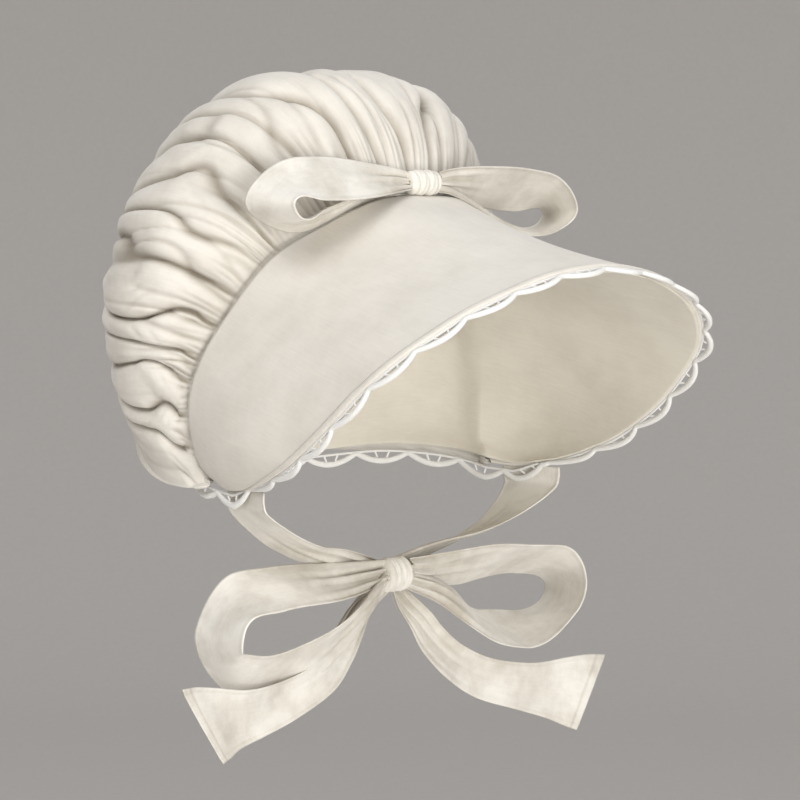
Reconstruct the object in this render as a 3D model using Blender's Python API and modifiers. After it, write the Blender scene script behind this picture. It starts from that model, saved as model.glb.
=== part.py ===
"""Poke bonnet: gathered crown, stiff smooth brim, lining, pierced lace edging, a bow on top and chin ties.

Metres, +Z up.  The wearer faces -Y and the wearer's right is -X.  The origin is the point inside the
lining that rests on top of the head.  "Forward" in the tables is -Y, and "drop" is how far a point lies
below that origin.
"""

import math

import bmesh
import bpy
import numpy as np

# Turns a row of (x, forward, drop) into (x, y, z).
FORWARD_AND_DOWN = np.array([1.0, -1.0, -1.0])

# Driving sizes of the bonnet.
BRIM_HALF_WIDTH = 0.117
BRIM_REACH = 0.172
NECK_DROP = 0.157
CROWN_HALF_WIDTH = 0.1300
CROWN_RISE = 0.0575
CROWN_BACK = 0.112
CROWN_BACK_DROP = 0.052
CAP_BACK = 0.094

# Cloth thicknesses and the clearance kept between pieces.
BRIM_WALL = 0.0024
CROWN_WALL = 0.0015
LINING_WALL = 0.0010
RIBBON_WALL = 0.0010
LACE_WALL = 0.0010
CLEARANCE = 0.0004

# Gathers of the crown.
PUFFS_ON_SEAM = 26
PUFFS_ON_NECK = 6
COLUMNS_PER_PUFF = 4
FOLD_DEPTH = 0.0062
PUFF_WIDTH_CHANGE = 0.30
FOLD_DEPTH_CHANGE = 0.35
FOLD_SHARPNESS = 0.75
CROWN_TUCK = 0.0020
GROOVE_RISE = 0.7
NECK_FOLD_LOSS = 0.75
CORNER_FOLD_SHARE = 0.25
CORNER_COLUMNS = 4
CORNER_STEP_BACK = 0.0035
CROWN_BACK_ROUNDNESS = 1.95

# Rows of the crown, in quarter turns: from the gathered edge to the fullest line, then on to the back.
FRONT_STEPS = (0.0, 0.30, 0.66, 1.0)
BACK_STEPS = (0.0, 0.32, 0.62, 0.86)

# Fold depth along those rows: quarter turns from the gathered edge, share of FOLD_DEPTH.
FOLD_ROWS = (
    (-0.10, 0.00),
    (0.00, 0.20),
    (0.35, 1.00),
    (1.00, 0.85),
    (1.50, 0.40),
    (2.00, 0.00),
)

# Brim.
BRIM_BULGE = 0.006
BRIM_COLUMNS = 28
BRIM_ROWS = 4
HOOD_STEPS = (0.10, 0.22, 0.38, 0.57, 0.77, 0.97)
LINING_DROP_AT_SEAM = 0.0034

# Lace edging.
LACE_SCALLOPS = 30
LACE_DEPTH = 0.0076
LACE_HEADER = 0.0014
LACE_BRAID = 0.0020
LACE_LOW = 0.0020
LACE_ARCH_ROUNDNESS = 0.8
LACE_CORNER_LEAN = 0.3
LACE_BRIM_SAMPLES = 49
LACE_NECK_SAMPLES = 33

# Ribbons.
LOOP_STEPS = 18
TAIL_STEPS = 13
TIE_STEPS = 11
TIE_WIDTH = 0.040
TOP_WIDTH = 0.030
CHIN_KNOT_FORWARD = 0.0304
CHIN_KNOT_ASIDE = 0.0001
CHIN_KNOT_DROP = 0.206
CHIN_LOOP_REACH = 0.122
CHIN_LOOP_RIGHT_LONGER = -0.005
CHIN_LOOP_LEFT_LONGER = 0.008
CHIN_LOOP_HEIGHT = 0.042
CHIN_LOOP_LEFT_HEIGHT = 0.0355
TOP_KNOT_FORWARD = 0.051
TOP_KNOT_DROP = 0.0098
TOP_LOOP_REACH = 0.102
TOP_LOOP_HEIGHT = 0.023
TOP_LOOP_LEFT_LIFT = -0.0050
CHIN_KNOT_HALF_SIZE = (0.0062, 0.0068, 0.0080)
TOP_KNOT_HALF_SIZE = (0.0092, 0.0050, 0.0056)
CHIN_LOOP_LEFT_LIFT = -0.0005
CHIN_LOOP_RIGHT_LIFT = -0.0010
LOOP_LIFT_ENDS = (0.1, 0.8)
SQUEEZED_FORWARD = 0.2
KNOT_SIDES = 12
LOOP_CUP = 0.08
TAIL_CUP = 0.15
TIE_TURN_IN = 0.0024
TIE_TURN_OUT = 0.0034
TIE_SHIFT_ENDS = (0.2, 0.7)
TAIL_REACH = 0.138
TAIL_LIFT_START = 0.2
TAIL_RIGHT_LIFT = 0.0075
TAIL_LEFT_LIFT = -0.0070
TAIL_RIGHT_ASIDE = -0.0080
TAIL_LEFT_ASIDE = 0.0060

# The edge where brim and crown meet, from the middle of the top down to the lower corner of one side.
# Columns: width (share of BRIM_HALF_WIDTH), forward (share of BRIM_REACH), drop (share of NECK_DROP), swell
# (share of BRIM_BULGE by which the brim bulges out in front of this point; less than 0 is a hollow),
# groove (how far the crown stands back behind the brim here, in parts of FOLD_DEPTH).
SEAM_ROWS = (
    (0.000, 0.302, 0.102, -0.5, 0.8),
    (0.248, 0.288, 0.115, -0.8, 0.8),
    (0.470, 0.215, 0.197, -1.0, 0.6),
    (0.667, 0.142, 0.302, -0.7, 0.4),
    (0.800, 0.046, 0.490, 0.1, 0.2),
    (0.885, -0.003, 0.643, 0.6, 0.2),
    (0.900, -0.023, 0.783, 0.8, 0.3),
    (0.868, -0.006, 0.930, 0.6, 0.5),
    (0.820, 0.046, 1.000, 0.3, 0.3),
)

# The front edge of the brim, from the middle of the top down to the lower front corner.
# Columns: width (share of BRIM_HALF_WIDTH), forward (share of BRIM_REACH), drop (share of NECK_DROP).
FRONT_ROWS = (
    (0.000, 1.000, 0.312),
    (0.282, 0.988, 0.334),
    (0.491, 0.968, 0.379),
    (0.667, 0.933, 0.433),
    (0.815, 0.880, 0.506),
    (0.923, 0.808, 0.586),
    (0.980, 0.712, 0.682),
    (1.000, 0.605, 0.787),
    (0.983, 0.465, 0.892),
    (0.944, 0.350, 0.950),
    (0.905, 0.262, 0.984),
    (0.868, 0.192, 1.000),
)

# The neck edge, from the lower rear corner of one side round to the nape.
# Columns: width (share of BRIM_HALF_WIDTH), forward (share of BRIM_REACH), drop (share of NECK_DROP).
NECK_ROWS = (
    (0.820, 0.046, 1.000),
    (0.800, -0.050, 0.975),
    (0.718, -0.151, 0.955),
    (0.564, -0.262, 0.945),
    (0.342, -0.366, 0.960),
    (0.000, -0.413, 0.975),
)

# The fullest line of the crown, matched row for row with the seam rows and then with the neck rows.
# Columns: width (share of CROWN_HALF_WIDTH), back (share of CROWN_BACK), rise (share of CROWN_RISE above the
# origin, or of NECK_DROP below it), roundness (exponent of the curve from the gathered edge to this line).
GIRTH_ROWS = (
    (0.000, 0.120, 0.885, 2.10),
    (0.380, 0.095, 0.770, 2.10),
    (0.675, 0.125, 0.280, 1.95),
    (0.848, 0.210, -0.130, 2.00),
    (0.922, 0.285, -0.400, 2.00),
    (0.922, 0.305, -0.590, 2.00),
    (0.880, 0.275, -0.765, 2.00),
    (0.822, 0.190, -0.905, 2.00),
    (0.790, 0.075, -1.010, 2.00),
    (0.776, 0.175, -1.005, 2.00),
    (0.716, 0.335, -0.990, 2.00),
    (0.577, 0.505, -0.975, 2.00),
    (0.342, 0.670, -0.965, 2.00),
    (0.000, 0.760, -0.975, 2.00),
)

# The top line of the head hollow, from the seam's middle back over the head and down to the nape.
# Columns: back (share of CAP_BACK), rise (share of NECK_DROP, less than 0 below the origin).
RIDGE_ROWS = (
    (-0.555, -0.140),
    (-0.400, -0.128),
    (-0.180, -0.022),
    (0.040, 0.008),
    (0.460, -0.040),
    (0.820, -0.210),
    (0.970, -0.480),
    (0.925, -0.800),
    (0.742, -0.985),
)

# Ribbon rows.  Each row is one place along the ribbon, from the knot.
# Loop columns: out (share of the loop's reach), rise (share of its height), forward (share of its height),
# width (share of the ribbon's width), upright (how far the width turns upright near the knot).
LOOP_ROWS = (
    (0.060, 0.08, 0.10, 0.26, 0.85),
    (0.160, 0.05, 0.09, 0.38, 0.60),
    (0.360, 0.02, 0.08, 0.66, 0.25),
    (0.600, 0.03, 0.08, 0.92, 0.05),
    (0.820, 0.00, 0.08, 1.00, 0.00),
    (0.950, -0.18, 0.05, 1.00, 0.00),
    (1.000, -0.46, 0.02, 1.00, 0.00),
    (0.960, -0.76, 0.00, 1.00, 0.00),
    (0.840, -0.96, -0.02, 1.00, 0.00),
    (0.660, -1.00, -0.03, 0.96, 0.00),
    (0.480, -0.84, 0.04, 0.88, 0.10),
    (0.320, -0.54, 0.13, 0.64, 0.25),
    (0.180, -0.25, 0.13, 0.38, 0.50),
    (0.060, -0.08, 0.04, 0.24, 0.80),
)

# Loops of the top bow, whose lower strand rests along the brim; same columns.
TOP_LOOP_ROWS = (
    (0.092, 0.05, 0.05, 0.30, 0.70),
    (0.200, 0.07, 0.08, 0.50, 0.40),
    (0.400, 0.06, 0.10, 0.84, 0.10),
    (0.620, 0.06, 0.10, 1.00, 0.00),
    (0.830, 0.02, 0.08, 1.00, 0.00),
    (0.950, -0.15, 0.05, 1.00, 0.00),
    (1.000, -0.42, 0.00, 1.00, 0.00),
    (0.950, -0.70, -0.05, 0.96, 0.00),
    (0.830, -0.84, -0.10, 0.88, 0.00),
    (0.660, -0.76, -0.18, 0.74, 0.00),
    (0.480, -0.52, -0.22, 0.56, 0.00),
    (0.320, -0.27, -0.18, 0.42, 0.10),
    (0.200, -0.14, -0.10, 0.32, 0.20),
    (0.092, -0.09, -0.05, 0.26, 0.40),
)

# How a loop's width leans: share of its length, then forward, up and out parts of the way from its far
# edge to its near one.  On the right the near edge borders the hole, on the left it is the outer one.
CHIN_LEANS_RIGHT = (
    (0.00, 0.93, -0.36, 0.00),
    (0.34, 0.93, -0.36, 0.00),
    (0.52, 0.97, 0.05, 0.06),
    (0.70, 0.58, 0.66, 0.48),
    (1.00, 0.58, 0.66, 0.48),
)
CHIN_LEANS_LEFT = (
    (0.00, 0.80, 0.60, 0.00),
    (0.16, 0.80, 0.60, 0.00),
    (0.36, 0.89, 0.45, 0.00),
    (0.52, 0.95, 0.00, -0.32),
    (0.68, 0.89, -0.45, 0.00),
    (0.84, 0.80, -0.60, 0.00),
    (1.00, 0.80, -0.60, 0.00),
)
TOP_LEANS_RIGHT = (
    (0.00, 0.74, -0.66, 0.00),
    (0.34, 0.74, -0.66, 0.00),
    (0.52, 0.98, 0.00, -0.17),
    (0.70, 0.85, 0.50, 0.12),
    (1.00, 0.85, 0.50, 0.12),
)
TOP_LEANS_LEFT = (
    (0.00, 0.74, 0.66, 0.00),
    (0.34, 0.74, 0.66, 0.00),
    (0.52, 0.98, 0.00, -0.17),
    (0.70, 0.94, -0.30, 0.00),
    (1.00, 0.94, -0.30, 0.00),
)

# Chin tie, from under the edge at the brim's lower corner down to the chin knot.
# Columns: out (share of BRIM_HALF_WIDTH), forward (share of BRIM_REACH), drop (share of CHIN_KNOT_DROP),
# turn (degrees that the ribbon's width leans from level towards upright), width share, splay (degrees that
# the front of its width turns outward).
TIE_ROWS = (
    (0.859, 0.172, 0.7640, 0.0, 0.86, 12.0),
    (0.858, 0.172, 0.790, 0.0, 0.86, 12.0),
    (0.846, 0.172, 0.815, 1.0, 0.84, 8.0),
    (0.770, 0.174, 0.850, 5.0, 0.78, 4.0),
    (0.640, 0.172, 0.892, 11.0, 0.70, 0.0),
    (0.480, 0.158, 0.926, 18.0, 0.58, 0.0),
    (0.290, 0.138, 0.953, 35.0, 0.44, 0.0),
    (0.036, 0.133, 0.990, 66.0, 0.22, 0.0),
)

# Bow tail, from the chin knot down and out to its slanting end.
# Columns: out, forward, drop (shares of TAIL_REACH), turn (degrees that the ribbon's width leans from level
# and inward towards upright), width share.
TAIL_ROWS = (
    (0.033, -0.010, 0.055, 20.0, 0.17),
    (0.100, -0.040, 0.115, 20.0, 0.32),
    (0.158, -0.030, 0.190, 24.0, 0.42),
    (0.210, -0.010, 0.268, 30.0, 0.50),
    (0.298, 0.020, 0.352, 40.0, 0.54),
    (0.452, 0.015, 0.420, 54.0, 0.58),
    (0.650, 0.030, 0.456, 64.0, 0.66),
    (0.820, 0.048, 0.466, 64.0, 0.86),
    (0.920, 0.068, 0.475, 62.0, 1.02),
    (1.000, 0.085, 0.485, 58.0, 1.12),
)

# Lace columns within one scallop.  Columns: place (share of the scallop), and whether the net is solid from
# the header to the braid between this place and the next.
LACE_PLACES = (
    (-0.05, True),
    (0.05, False),
    (0.34, True),
    (0.40, False),
    (0.60, True),
    (0.66, False),
)

# Wrapped knot, from one side to the other.  Columns: along (share of its half length), size (share of its
# half height).
KNOT_ROWS = (
    (-1.00, 0.62),
    (-0.92, 0.84),
    (-0.66, 1.00),
    (-0.42, 0.88),
    (-0.16, 1.02),
    (0.10, 0.90),
    (0.36, 1.00),
    (0.60, 0.86),
    (0.84, 0.92),
    (1.00, 0.62),
)


def clear_scene():
    """Remove whatever the scene holds."""
    for obj in list(bpy.data.objects):
        bpy.data.objects.remove(obj, do_unlink=True)


def new_material(name, colour, roughness):
    """A plain cloth material."""
    material = bpy.data.materials.new(name)
    material.use_nodes = True
    shader = material.node_tree.nodes["Principled BSDF"]
    shader.inputs["Base Color"].default_value = (*colour, 1.0)
    shader.inputs["Roughness"].default_value = roughness
    shader.inputs["Metallic"].default_value = 0.0
    return material


def points_from_rows(rows):
    """Edge points in metres from rows whose first columns are shares: width, forward, drop."""
    table = np.array(rows, float)
    return np.stack(
        [
            table[:, 0] * BRIM_HALF_WIDTH,
            -table[:, 1] * BRIM_REACH,
            -table[:, 2] * NECK_DROP,
        ],
        axis=1,
    )


def girth_points():
    """Points in metres of the crown's fullest line."""
    table = np.array(GIRTH_ROWS, float)
    above = table[:, 2] > 0
    height = table[:, 2] * np.where(above, CROWN_RISE, NECK_DROP)
    wide = table[:, 0] * CROWN_HALF_WIDTH
    return np.stack([wide, table[:, 1] * CROWN_BACK, height], axis=1)


def through_points(points, at):
    """Smooth curve through points: cubic Hermite pieces with tangents from the neighbours (Catmull-Rom)."""
    points = np.asarray(points, float)
    last = len(points) - 1
    at = np.clip(np.asarray(at, float), 0.0, last)
    before = np.vstack([2 * points[:1] - points[1:2], points[:-1]])
    after = np.vstack([points[1:], 2 * points[-1:] - points[-2:-1]])
    slope = (after - before) / 2
    low = np.minimum(at.astype(int), last - 1)
    part = (at - low)[:, None]
    first = 2 * part**3 - 3 * part**2 + 1
    second = part**3 - 2 * part**2 + part
    third = 3 * part**2 - 2 * part**3
    fourth = part**3 - part**2
    return (
        first * points[low]
        + second * slope[low]
        + third * points[low + 1]
        + fourth * slope[low + 1]
    )


def length_positions(points, shares):
    """Curve parameters that lie at the given shares of the curve's length."""
    fine = np.linspace(0.0, len(points) - 1, 40 * (len(points) - 1) + 1)
    curve = through_points(points, fine)
    step = np.linalg.norm(np.diff(curve[:, :3], axis=0), axis=1)
    run = np.concatenate([[0.0], np.cumsum(step)])
    return np.interp(np.asarray(shares) * run[-1], run, fine)


def mirrored(half):
    """A whole edge from its half: the left side reversed, the middle point once, then the right side."""
    left = half[:0:-1] * np.array([-1.0, 1.0, 1.0])
    return np.vstack([left, half])


def mirrored_column(rows, column):
    """One column of a half table, laid out like mirrored points."""
    values = np.array(rows, float)[:, column]
    return np.concatenate([values[:0:-1], values])


def unit(vectors):
    """Vectors scaled to length one."""
    size = np.linalg.norm(vectors, axis=-1, keepdims=True)
    return vectors / np.maximum(size, 1e-12)


def normals_of(grid, closed):
    """Unit normals of a grid of points; closed says whether its columns run right round."""
    if closed:
        across = np.roll(grid, -1, axis=1) - np.roll(grid, 1, axis=1)
    else:
        across = np.gradient(grid, axis=1)
    return unit(np.cross(np.gradient(grid, axis=0), across))


def grid_faces(rows, columns, closed):
    """Quads between neighbouring rows and columns of a grid."""
    wide = columns if closed else columns - 1
    row, column = np.meshgrid(np.arange(rows - 1), np.arange(wide), indexing="ij")
    here = row * columns + column
    beside = row * columns + (column + 1) % columns
    faces = np.stack([here, here + columns, beside + columns, beside], axis=-1)
    return faces.reshape(-1, 4)


def mesh_object(name, points, faces, material, collection):
    """A mesh object made of points and faces, shaded smooth."""
    mesh = bpy.data.meshes.new(name)
    mesh.from_pydata(np.asarray(points).tolist(), [], [list(map(int, f)) for f in faces])
    mesh.update()
    mesh.materials.append(material)
    mesh.shade_smooth()
    obj = bpy.data.objects.new(name, mesh)
    collection.objects.link(obj)
    return obj


def add_wall(obj, thickness, offset):
    """Give an open cloth surface its thickness: offset -1 grows inward, 0 to both sides."""
    solid = obj.modifiers.new("cloth thickness", "SOLIDIFY")
    solid.thickness = thickness
    solid.offset = offset
    solid.use_rim = True


def brim_grid(inset, shares, rows):
    """The brim's surface at shares of its edges' lengths, rear edge first, moved inward by inset."""
    seam_line = mirrored(points_from_rows(SEAM_ROWS))
    spots = length_positions(seam_line, shares)
    seam = through_points(seam_line, spots)
    swell = np.interp(spots, np.arange(len(seam_line)), mirrored_column(SEAM_ROWS, 3))
    front_line = mirrored(points_from_rows(FRONT_ROWS))
    front = through_points(front_line, length_positions(front_line, shares))
    share = np.linspace(0.0, 1.0, rows)[:, None, None]
    grid = seam[None] * (1 - share) + front[None] * share
    normal = normals_of(grid, False)
    bulge = BRIM_BULGE * np.sin(math.pi * share) * swell[None, :, None]
    inset = np.broadcast_to(inset, (rows,))[:, None, None]
    return grid + normal * (bulge - inset)


def puff_shares(count):
    """Shares along an edge where each puff's columns stand; the puffs differ in width."""
    number = np.arange(count)
    width = 1 + PUFF_WIDTH_CHANGE * np.sin(2.3 * number + 0.7) * np.cos(0.9 * number)
    edges = np.concatenate([[0.0], np.cumsum(width)]) / width.sum()
    phase = np.arange(count * COLUMNS_PER_PUFF) / COLUMNS_PER_PUFF
    return np.interp(phase, np.arange(count + 1), edges), phase


def crown_grid(front_steps, back_steps):
    """The crown before its folds are sunk: from the gathered edge to its fullest line and on to the back."""
    arch_shares, arch_phase = puff_shares(PUFFS_ON_SEAM)
    neck_shares, neck_phase = puff_shares(PUFFS_ON_NECK)
    phase = np.concatenate([arch_phase, neck_phase + PUFFS_ON_SEAM])
    on_neck = np.repeat([0.0, 1.0], [len(arch_phase), len(neck_phase)])
    seam_line = mirrored(points_from_rows(SEAM_ROWS))
    neck_line = mirrored(points_from_rows(NECK_ROWS)[::-1])[::-1]
    places = length_positions(seam_line, arch_shares)
    neck_places = length_positions(neck_line, neck_shares)
    edge = np.vstack([through_points(seam_line, places), through_points(neck_line, neck_places)])
    girth = girth_points()
    last = len(SEAM_ROWS)
    girth_arch = mirrored(girth[:last])
    girth_neck = mirrored(girth[last - 1 :][::-1])[::-1]
    full = np.vstack([through_points(girth_arch, places), through_points(girth_neck, neck_places)])
    groove = np.interp(places, np.arange(len(seam_line)), mirrored_column(SEAM_ROWS, 4))
    groove = np.concatenate([groove, np.zeros(len(neck_phase))]) * FOLD_DEPTH
    arch_round = mirrored_column(GIRTH_ROWS[:last], 3)
    roundness = np.interp(places, np.arange(len(arch_round)), arch_round)
    roundness = np.concatenate([roundness, np.full(len(neck_phase), 2.0)])[None, :]
    level = edge - np.array([0.0, CROWN_BACK / 5, 0.0])
    level[:, 2] = 0
    level = unit(level)
    last_seam = len(arch_phase)
    behind = np.array([0.0, 1.0, 0.0])
    under = brim_grid(BRIM_WALL + 3 * CLEARANCE, np.append(arch_shares, 1.0), 3)
    forward = unit(under[1] - under[0])[:-1]
    neck_run = np.minimum(phase - PUFFS_ON_SEAM, PUFFS_ON_SEAM + PUFFS_ON_NECK - phase)
    step_back = CORNER_STEP_BACK * np.exp(-np.maximum(0, neck_run) * 2)[:, None]
    neck_out = edge + level * (CROWN_WALL + 3 * CLEARANCE) + behind * step_back
    from_corner = np.minimum(np.arange(last_seam), np.arange(last_seam)[::-1])
    tuck = np.interp(from_corner, [0, CORNER_COLUMNS], [-CROWN_TUCK, CROWN_TUCK])[:, None]
    start = neck_out + np.array([0.0, 0.0, CROWN_TUCK])
    start[:last_seam] = under[0][:-1] + forward * tuck
    out = neck_out.copy()
    set_back = 2 * CLEARANCE + BRIM_WALL + groove[:last_seam, None]
    out[:last_seam] = under[0][:-1] + behind * set_back
    out[:last_seam, 2] += GROOVE_RISE * groove[:last_seam]
    out[:last_seam] += behind * np.maximum(0, -tuck)
    angle = np.asarray(front_steps)[:, None] * math.pi / 2
    spread = np.sin(angle) ** (-2 / roundness * np.log2(1 - 0.5 ** (roundness / 2)))
    stay = np.cos(angle)
    wide = out[None, :, 0] + (full - out)[None, :, 0] * spread
    high = out[None, :, 2] + (full - out)[None, :, 2] * spread
    deep = full[None, :, 1] + (out - full)[None, :, 1] * stay
    front = np.stack([wide, deep, high], axis=-1)
    centre = np.array([0.0, CROWN_BACK, -CROWN_BACK_DROP])
    angle = np.asarray(back_steps)[1:, None] * math.pi / 2
    shrink = np.cos(angle) ** (2 / CROWN_BACK_ROUNDNESS)
    travel = np.sin(angle) ** (2 / CROWN_BACK_ROUNDNESS)
    wide = centre[0] + (full[None, :, 0] - centre[0]) * shrink
    high = centre[2] + (full[None, :, 2] - centre[2]) * shrink
    deep = full[None, :, 1] + (centre[1] - full[None, :, 1]) * travel
    rear = np.stack([wide, deep, high], axis=-1)
    grid = np.concatenate([start[None], front, rear], axis=0)
    steps = np.concatenate([[FOLD_ROWS[0][0]], front_steps, 1 + np.asarray(back_steps)[1:]])
    return grid, steps, phase, on_neck


def fold_sink(steps, phase, on_neck):
    """How deep the crown sinks between its puffs: sharp folds that fade towards the middle of the back."""
    number = np.floor(phase)
    depth = 1 + FOLD_DEPTH_CHANGE * np.sin(1.9 * number + 0.4)
    rows = np.array(FOLD_ROWS)
    fade = np.interp(steps, rows[:, 0], rows[:, 1])
    within = phase - number
    sink = 1 - np.sin(math.pi * within) ** FOLD_SHARPNESS
    return FOLD_DEPTH * fade[:, None] * depth * sink * (1 - NECK_FOLD_LOSS * on_neck)


def build_crown(collection, material):
    """The gathered crown, a hollow bag open at the seam and the neck edge."""
    grid, steps, phase, on_neck = crown_grid(np.array(FRONT_STEPS), np.array(BACK_STEPS))
    inward = normals_of(grid, True)
    early = np.clip(steps / 0.25, 0, 1)[:, None, None]
    inward = unit(inward * early + np.array([0.0, 1.0, 0.0]) * (1 - early))
    round_length = PUFFS_ON_SEAM + PUFFS_ON_NECK
    from_corner = np.minimum(np.minimum(phase, round_length - phase), abs(phase - PUFFS_ON_SEAM))
    shallow = np.interp(from_corner, [0.0, 1.0], [CORNER_FOLD_SHARE, 1.0])
    sink = fold_sink(steps, phase, on_neck) * (1 - on_neck * (1 - early[:, :, 0])) * shallow
    grid = grid + inward * sink[:, :, None]
    rows, columns, _ = grid.shape
    faces = [list(f)[::-1] for f in grid_faces(rows, columns, True)]
    middle = [0.0, CROWN_BACK, -CROWN_BACK_DROP]
    points = np.vstack([grid.reshape(-1, 3), [middle]])
    last = (rows - 1) * columns
    for column in range(columns):
        faces.append([last + (column + 1) % columns, rows * columns, last + column])
    obj = mesh_object("crown", points, faces, material, collection)
    add_wall(obj, CROWN_WALL, -1.0)


def build_brim(collection, material):
    """The stiff smooth brim."""
    grid = brim_grid(0.0, np.linspace(0.0, 1.0, BRIM_COLUMNS + 1), BRIM_ROWS + 1)
    faces = grid_faces(BRIM_ROWS + 1, BRIM_COLUMNS + 1, False)
    obj = mesh_object("brim", grid.reshape(-1, 3), faces, material, collection)
    add_wall(obj, BRIM_WALL, -1.0)


def hood_rows(seam, steps):
    """Arches that carry the lining from the seam back over the head, their ends on the neck edge."""
    half = points_from_rows(NECK_ROWS)
    spots = length_positions(half, steps)
    neck = through_points(half, spots)
    neck = neck + (seam[-1] - half[0]) * (1 - np.asarray(steps)[:, None]) ** 3
    ridge_table = np.array(RIDGE_ROWS, float)
    ridge = np.stack(
        [np.zeros(len(ridge_table)), ridge_table[:, 0] * CAP_BACK, ridge_table[:, 1] * NECK_DROP],
        axis=1,
    )
    top = seam[len(seam) // 2]
    to_seam = (top - ridge[0]) * (1 - np.asarray(steps)[:, None]) ** 3
    ridge = through_points(ridge, length_positions(ridge, steps)) + to_seam
    foot = seam[-1]
    wide = seam[:, 0] / foot[0]
    turn = np.linspace(-1.0, 1.0, len(seam))
    even = np.stack([np.sin(turn * math.pi / 2), np.cos(turn * math.pi / 2)], axis=1)
    seam_flat = (-seam[:, 1] + 1j * seam[:, 2]) - (-foot[1] + 1j * foot[2])
    top_flat = (-top[1] + 1j * top[2]) - (-foot[1] + 1j * foot[2])
    seam_share = seam_flat / top_flat
    rows = []
    for step, end, peak in zip(steps, neck, ridge):
        blend = min(1.0, 1.5 * step)
        out = wide * (1 - blend) + even[:, 0] * blend
        share = seam_share * (1 - blend) + even[:, 1] * blend
        base = -end[1] + 1j * end[2]
        tall = (-peak[1] + 1j * peak[2]) - base
        flat = base + share * tall
        rows.append(np.stack([out * end[0], -flat.real, flat.imag], axis=1))
    return np.array(rows)


def build_lining(collection, material):
    """The lining: under the brim and on over the head to the neck edge, in one piece."""
    share = np.linspace(0.0, 1.0, BRIM_ROWS + 1)
    inset = BRIM_WALL + 1.5 * CLEARANCE + LINING_DROP_AT_SEAM * (1 - share) ** 3
    brim_part = brim_grid(inset, np.linspace(0.0, 1.0, BRIM_COLUMNS + 1), BRIM_ROWS + 1)
    hood = hood_rows(brim_part[0], np.array(HOOD_STEPS))
    grid = np.concatenate([hood[::-1], brim_part], axis=0)
    rows, columns, _ = grid.shape
    faces = grid_faces(rows, columns, False)
    obj = mesh_object("lining", grid.reshape(-1, 3), faces, material, collection)
    add_wall(obj, LINING_WALL, -1.0)


def lace_path():
    """Points round the opening, and the way that the lace stands at each: ahead in front, else down."""
    grid = brim_grid(BRIM_WALL / 2, np.linspace(0.0, 1.0, LACE_BRIM_SAMPLES), 3)
    front = grid[-1]
    ahead = unit(grid[-1] - grid[0])
    foot = grid[1:2, -1]
    neck_line = mirrored(points_from_rows(NECK_ROWS)[::-1])[::-1]
    neck_spots = length_positions(neck_line, np.linspace(0.0, 1.0, LACE_NECK_SAMPLES))
    neck = through_points(neck_line, neck_spots)
    down = np.array([0.0, 0.0, -1.0])
    flip = np.array([-1.0, 1.0, 1.0])
    low = down * LACE_LOW
    points = np.vstack([front, foot + low, neck[1:-1] + low, foot * flip + low])
    corner = unit(down[None] + LACE_CORNER_LEAN * ahead[-1:])
    facing = np.vstack([ahead, corner, np.tile(down, (len(neck) - 2, 1)), corner * flip])
    return np.vstack([points, points[:1]]), np.vstack([facing, facing[:1]])


def build_lace(collection, material):
    """The pierced lace: a straight header cord, a scalloped braid and short bars between them."""
    points, facing = lace_path()
    step = np.linalg.norm(np.diff(points, axis=0), axis=1)
    run = np.concatenate([[0.0], np.cumsum(step)])
    place = np.array([row[0] for row in LACE_PLACES])
    solid = np.tile([row[1] for row in LACE_PLACES], LACE_SCALLOPS)
    share = (np.arange(LACE_SCALLOPS)[:, None] + place[None]).ravel() / LACE_SCALLOPS
    spot = (share % 1.0) * run[-1]
    base = np.stack([np.interp(spot, run, points[:, k]) for k in range(3)], axis=1)
    turn = unit(np.stack([np.interp(spot, run, facing[:, k]) for k in range(3)], axis=1))
    node = place[1]
    arch = np.sin(math.pi * np.clip(place, node, 1 - node)) ** LACE_ARCH_ROUNDNESS
    arch = np.tile(arch, LACE_SCALLOPS)
    inner = LACE_HEADER + (LACE_DEPTH - LACE_HEADER - LACE_BRAID) * arch
    header = np.full_like(inner, LACE_HEADER)
    heights = np.stack([header * 0, header, inner, inner + LACE_BRAID])
    grid = base[None] + turn[None] * (heights + CLEARANCE)[:, :, None]
    columns = grid.shape[1]
    bands = grid_faces(4, columns, True).reshape(3, columns, 4)
    faces = np.vstack([bands[0], bands[2], bands[1][solid]])
    obj = mesh_object("lace_edging", grid.reshape(-1, 3), faces, material, collection)
    add_wall(obj, LACE_WALL, 0.0)


def ribbon(name, line, across, cup, collection, material):
    """A ribbon along a line of points; across is half its width as a vector at each point, cup its hollow."""
    sides = np.array([-1.0, -0.5, 0.0, 0.5, 1.0])
    along = unit(np.gradient(line, axis=0))
    face = unit(np.cross(along, across))
    bend = (1 - sides**2)[None, :, None] * np.asarray(cup)[:, None, None]
    grid = line[:, None] + across[:, None] * sides[None, :, None] + face[:, None] * bend
    rows, columns, _ = grid.shape
    faces = grid_faces(rows, columns, False)
    obj = mesh_object(name, grid.reshape(-1, 3), faces, material, collection)
    add_wall(obj, RIBBON_WALL, 0.0)
    return obj


def loop_leans(rows, shares):
    """The lean table read at shares of the length, each step eased at both ends."""
    leans = np.array(rows, float)
    part = (shares[:, None] - leans[None, :-1, 0]) / np.diff(leans[:, 0])
    part = np.clip(part, 0, 1)
    return leans[0, 1:] + (part * part * (3 - 2 * part)) @ np.diff(leans[:, 1:], axis=0)


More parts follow.
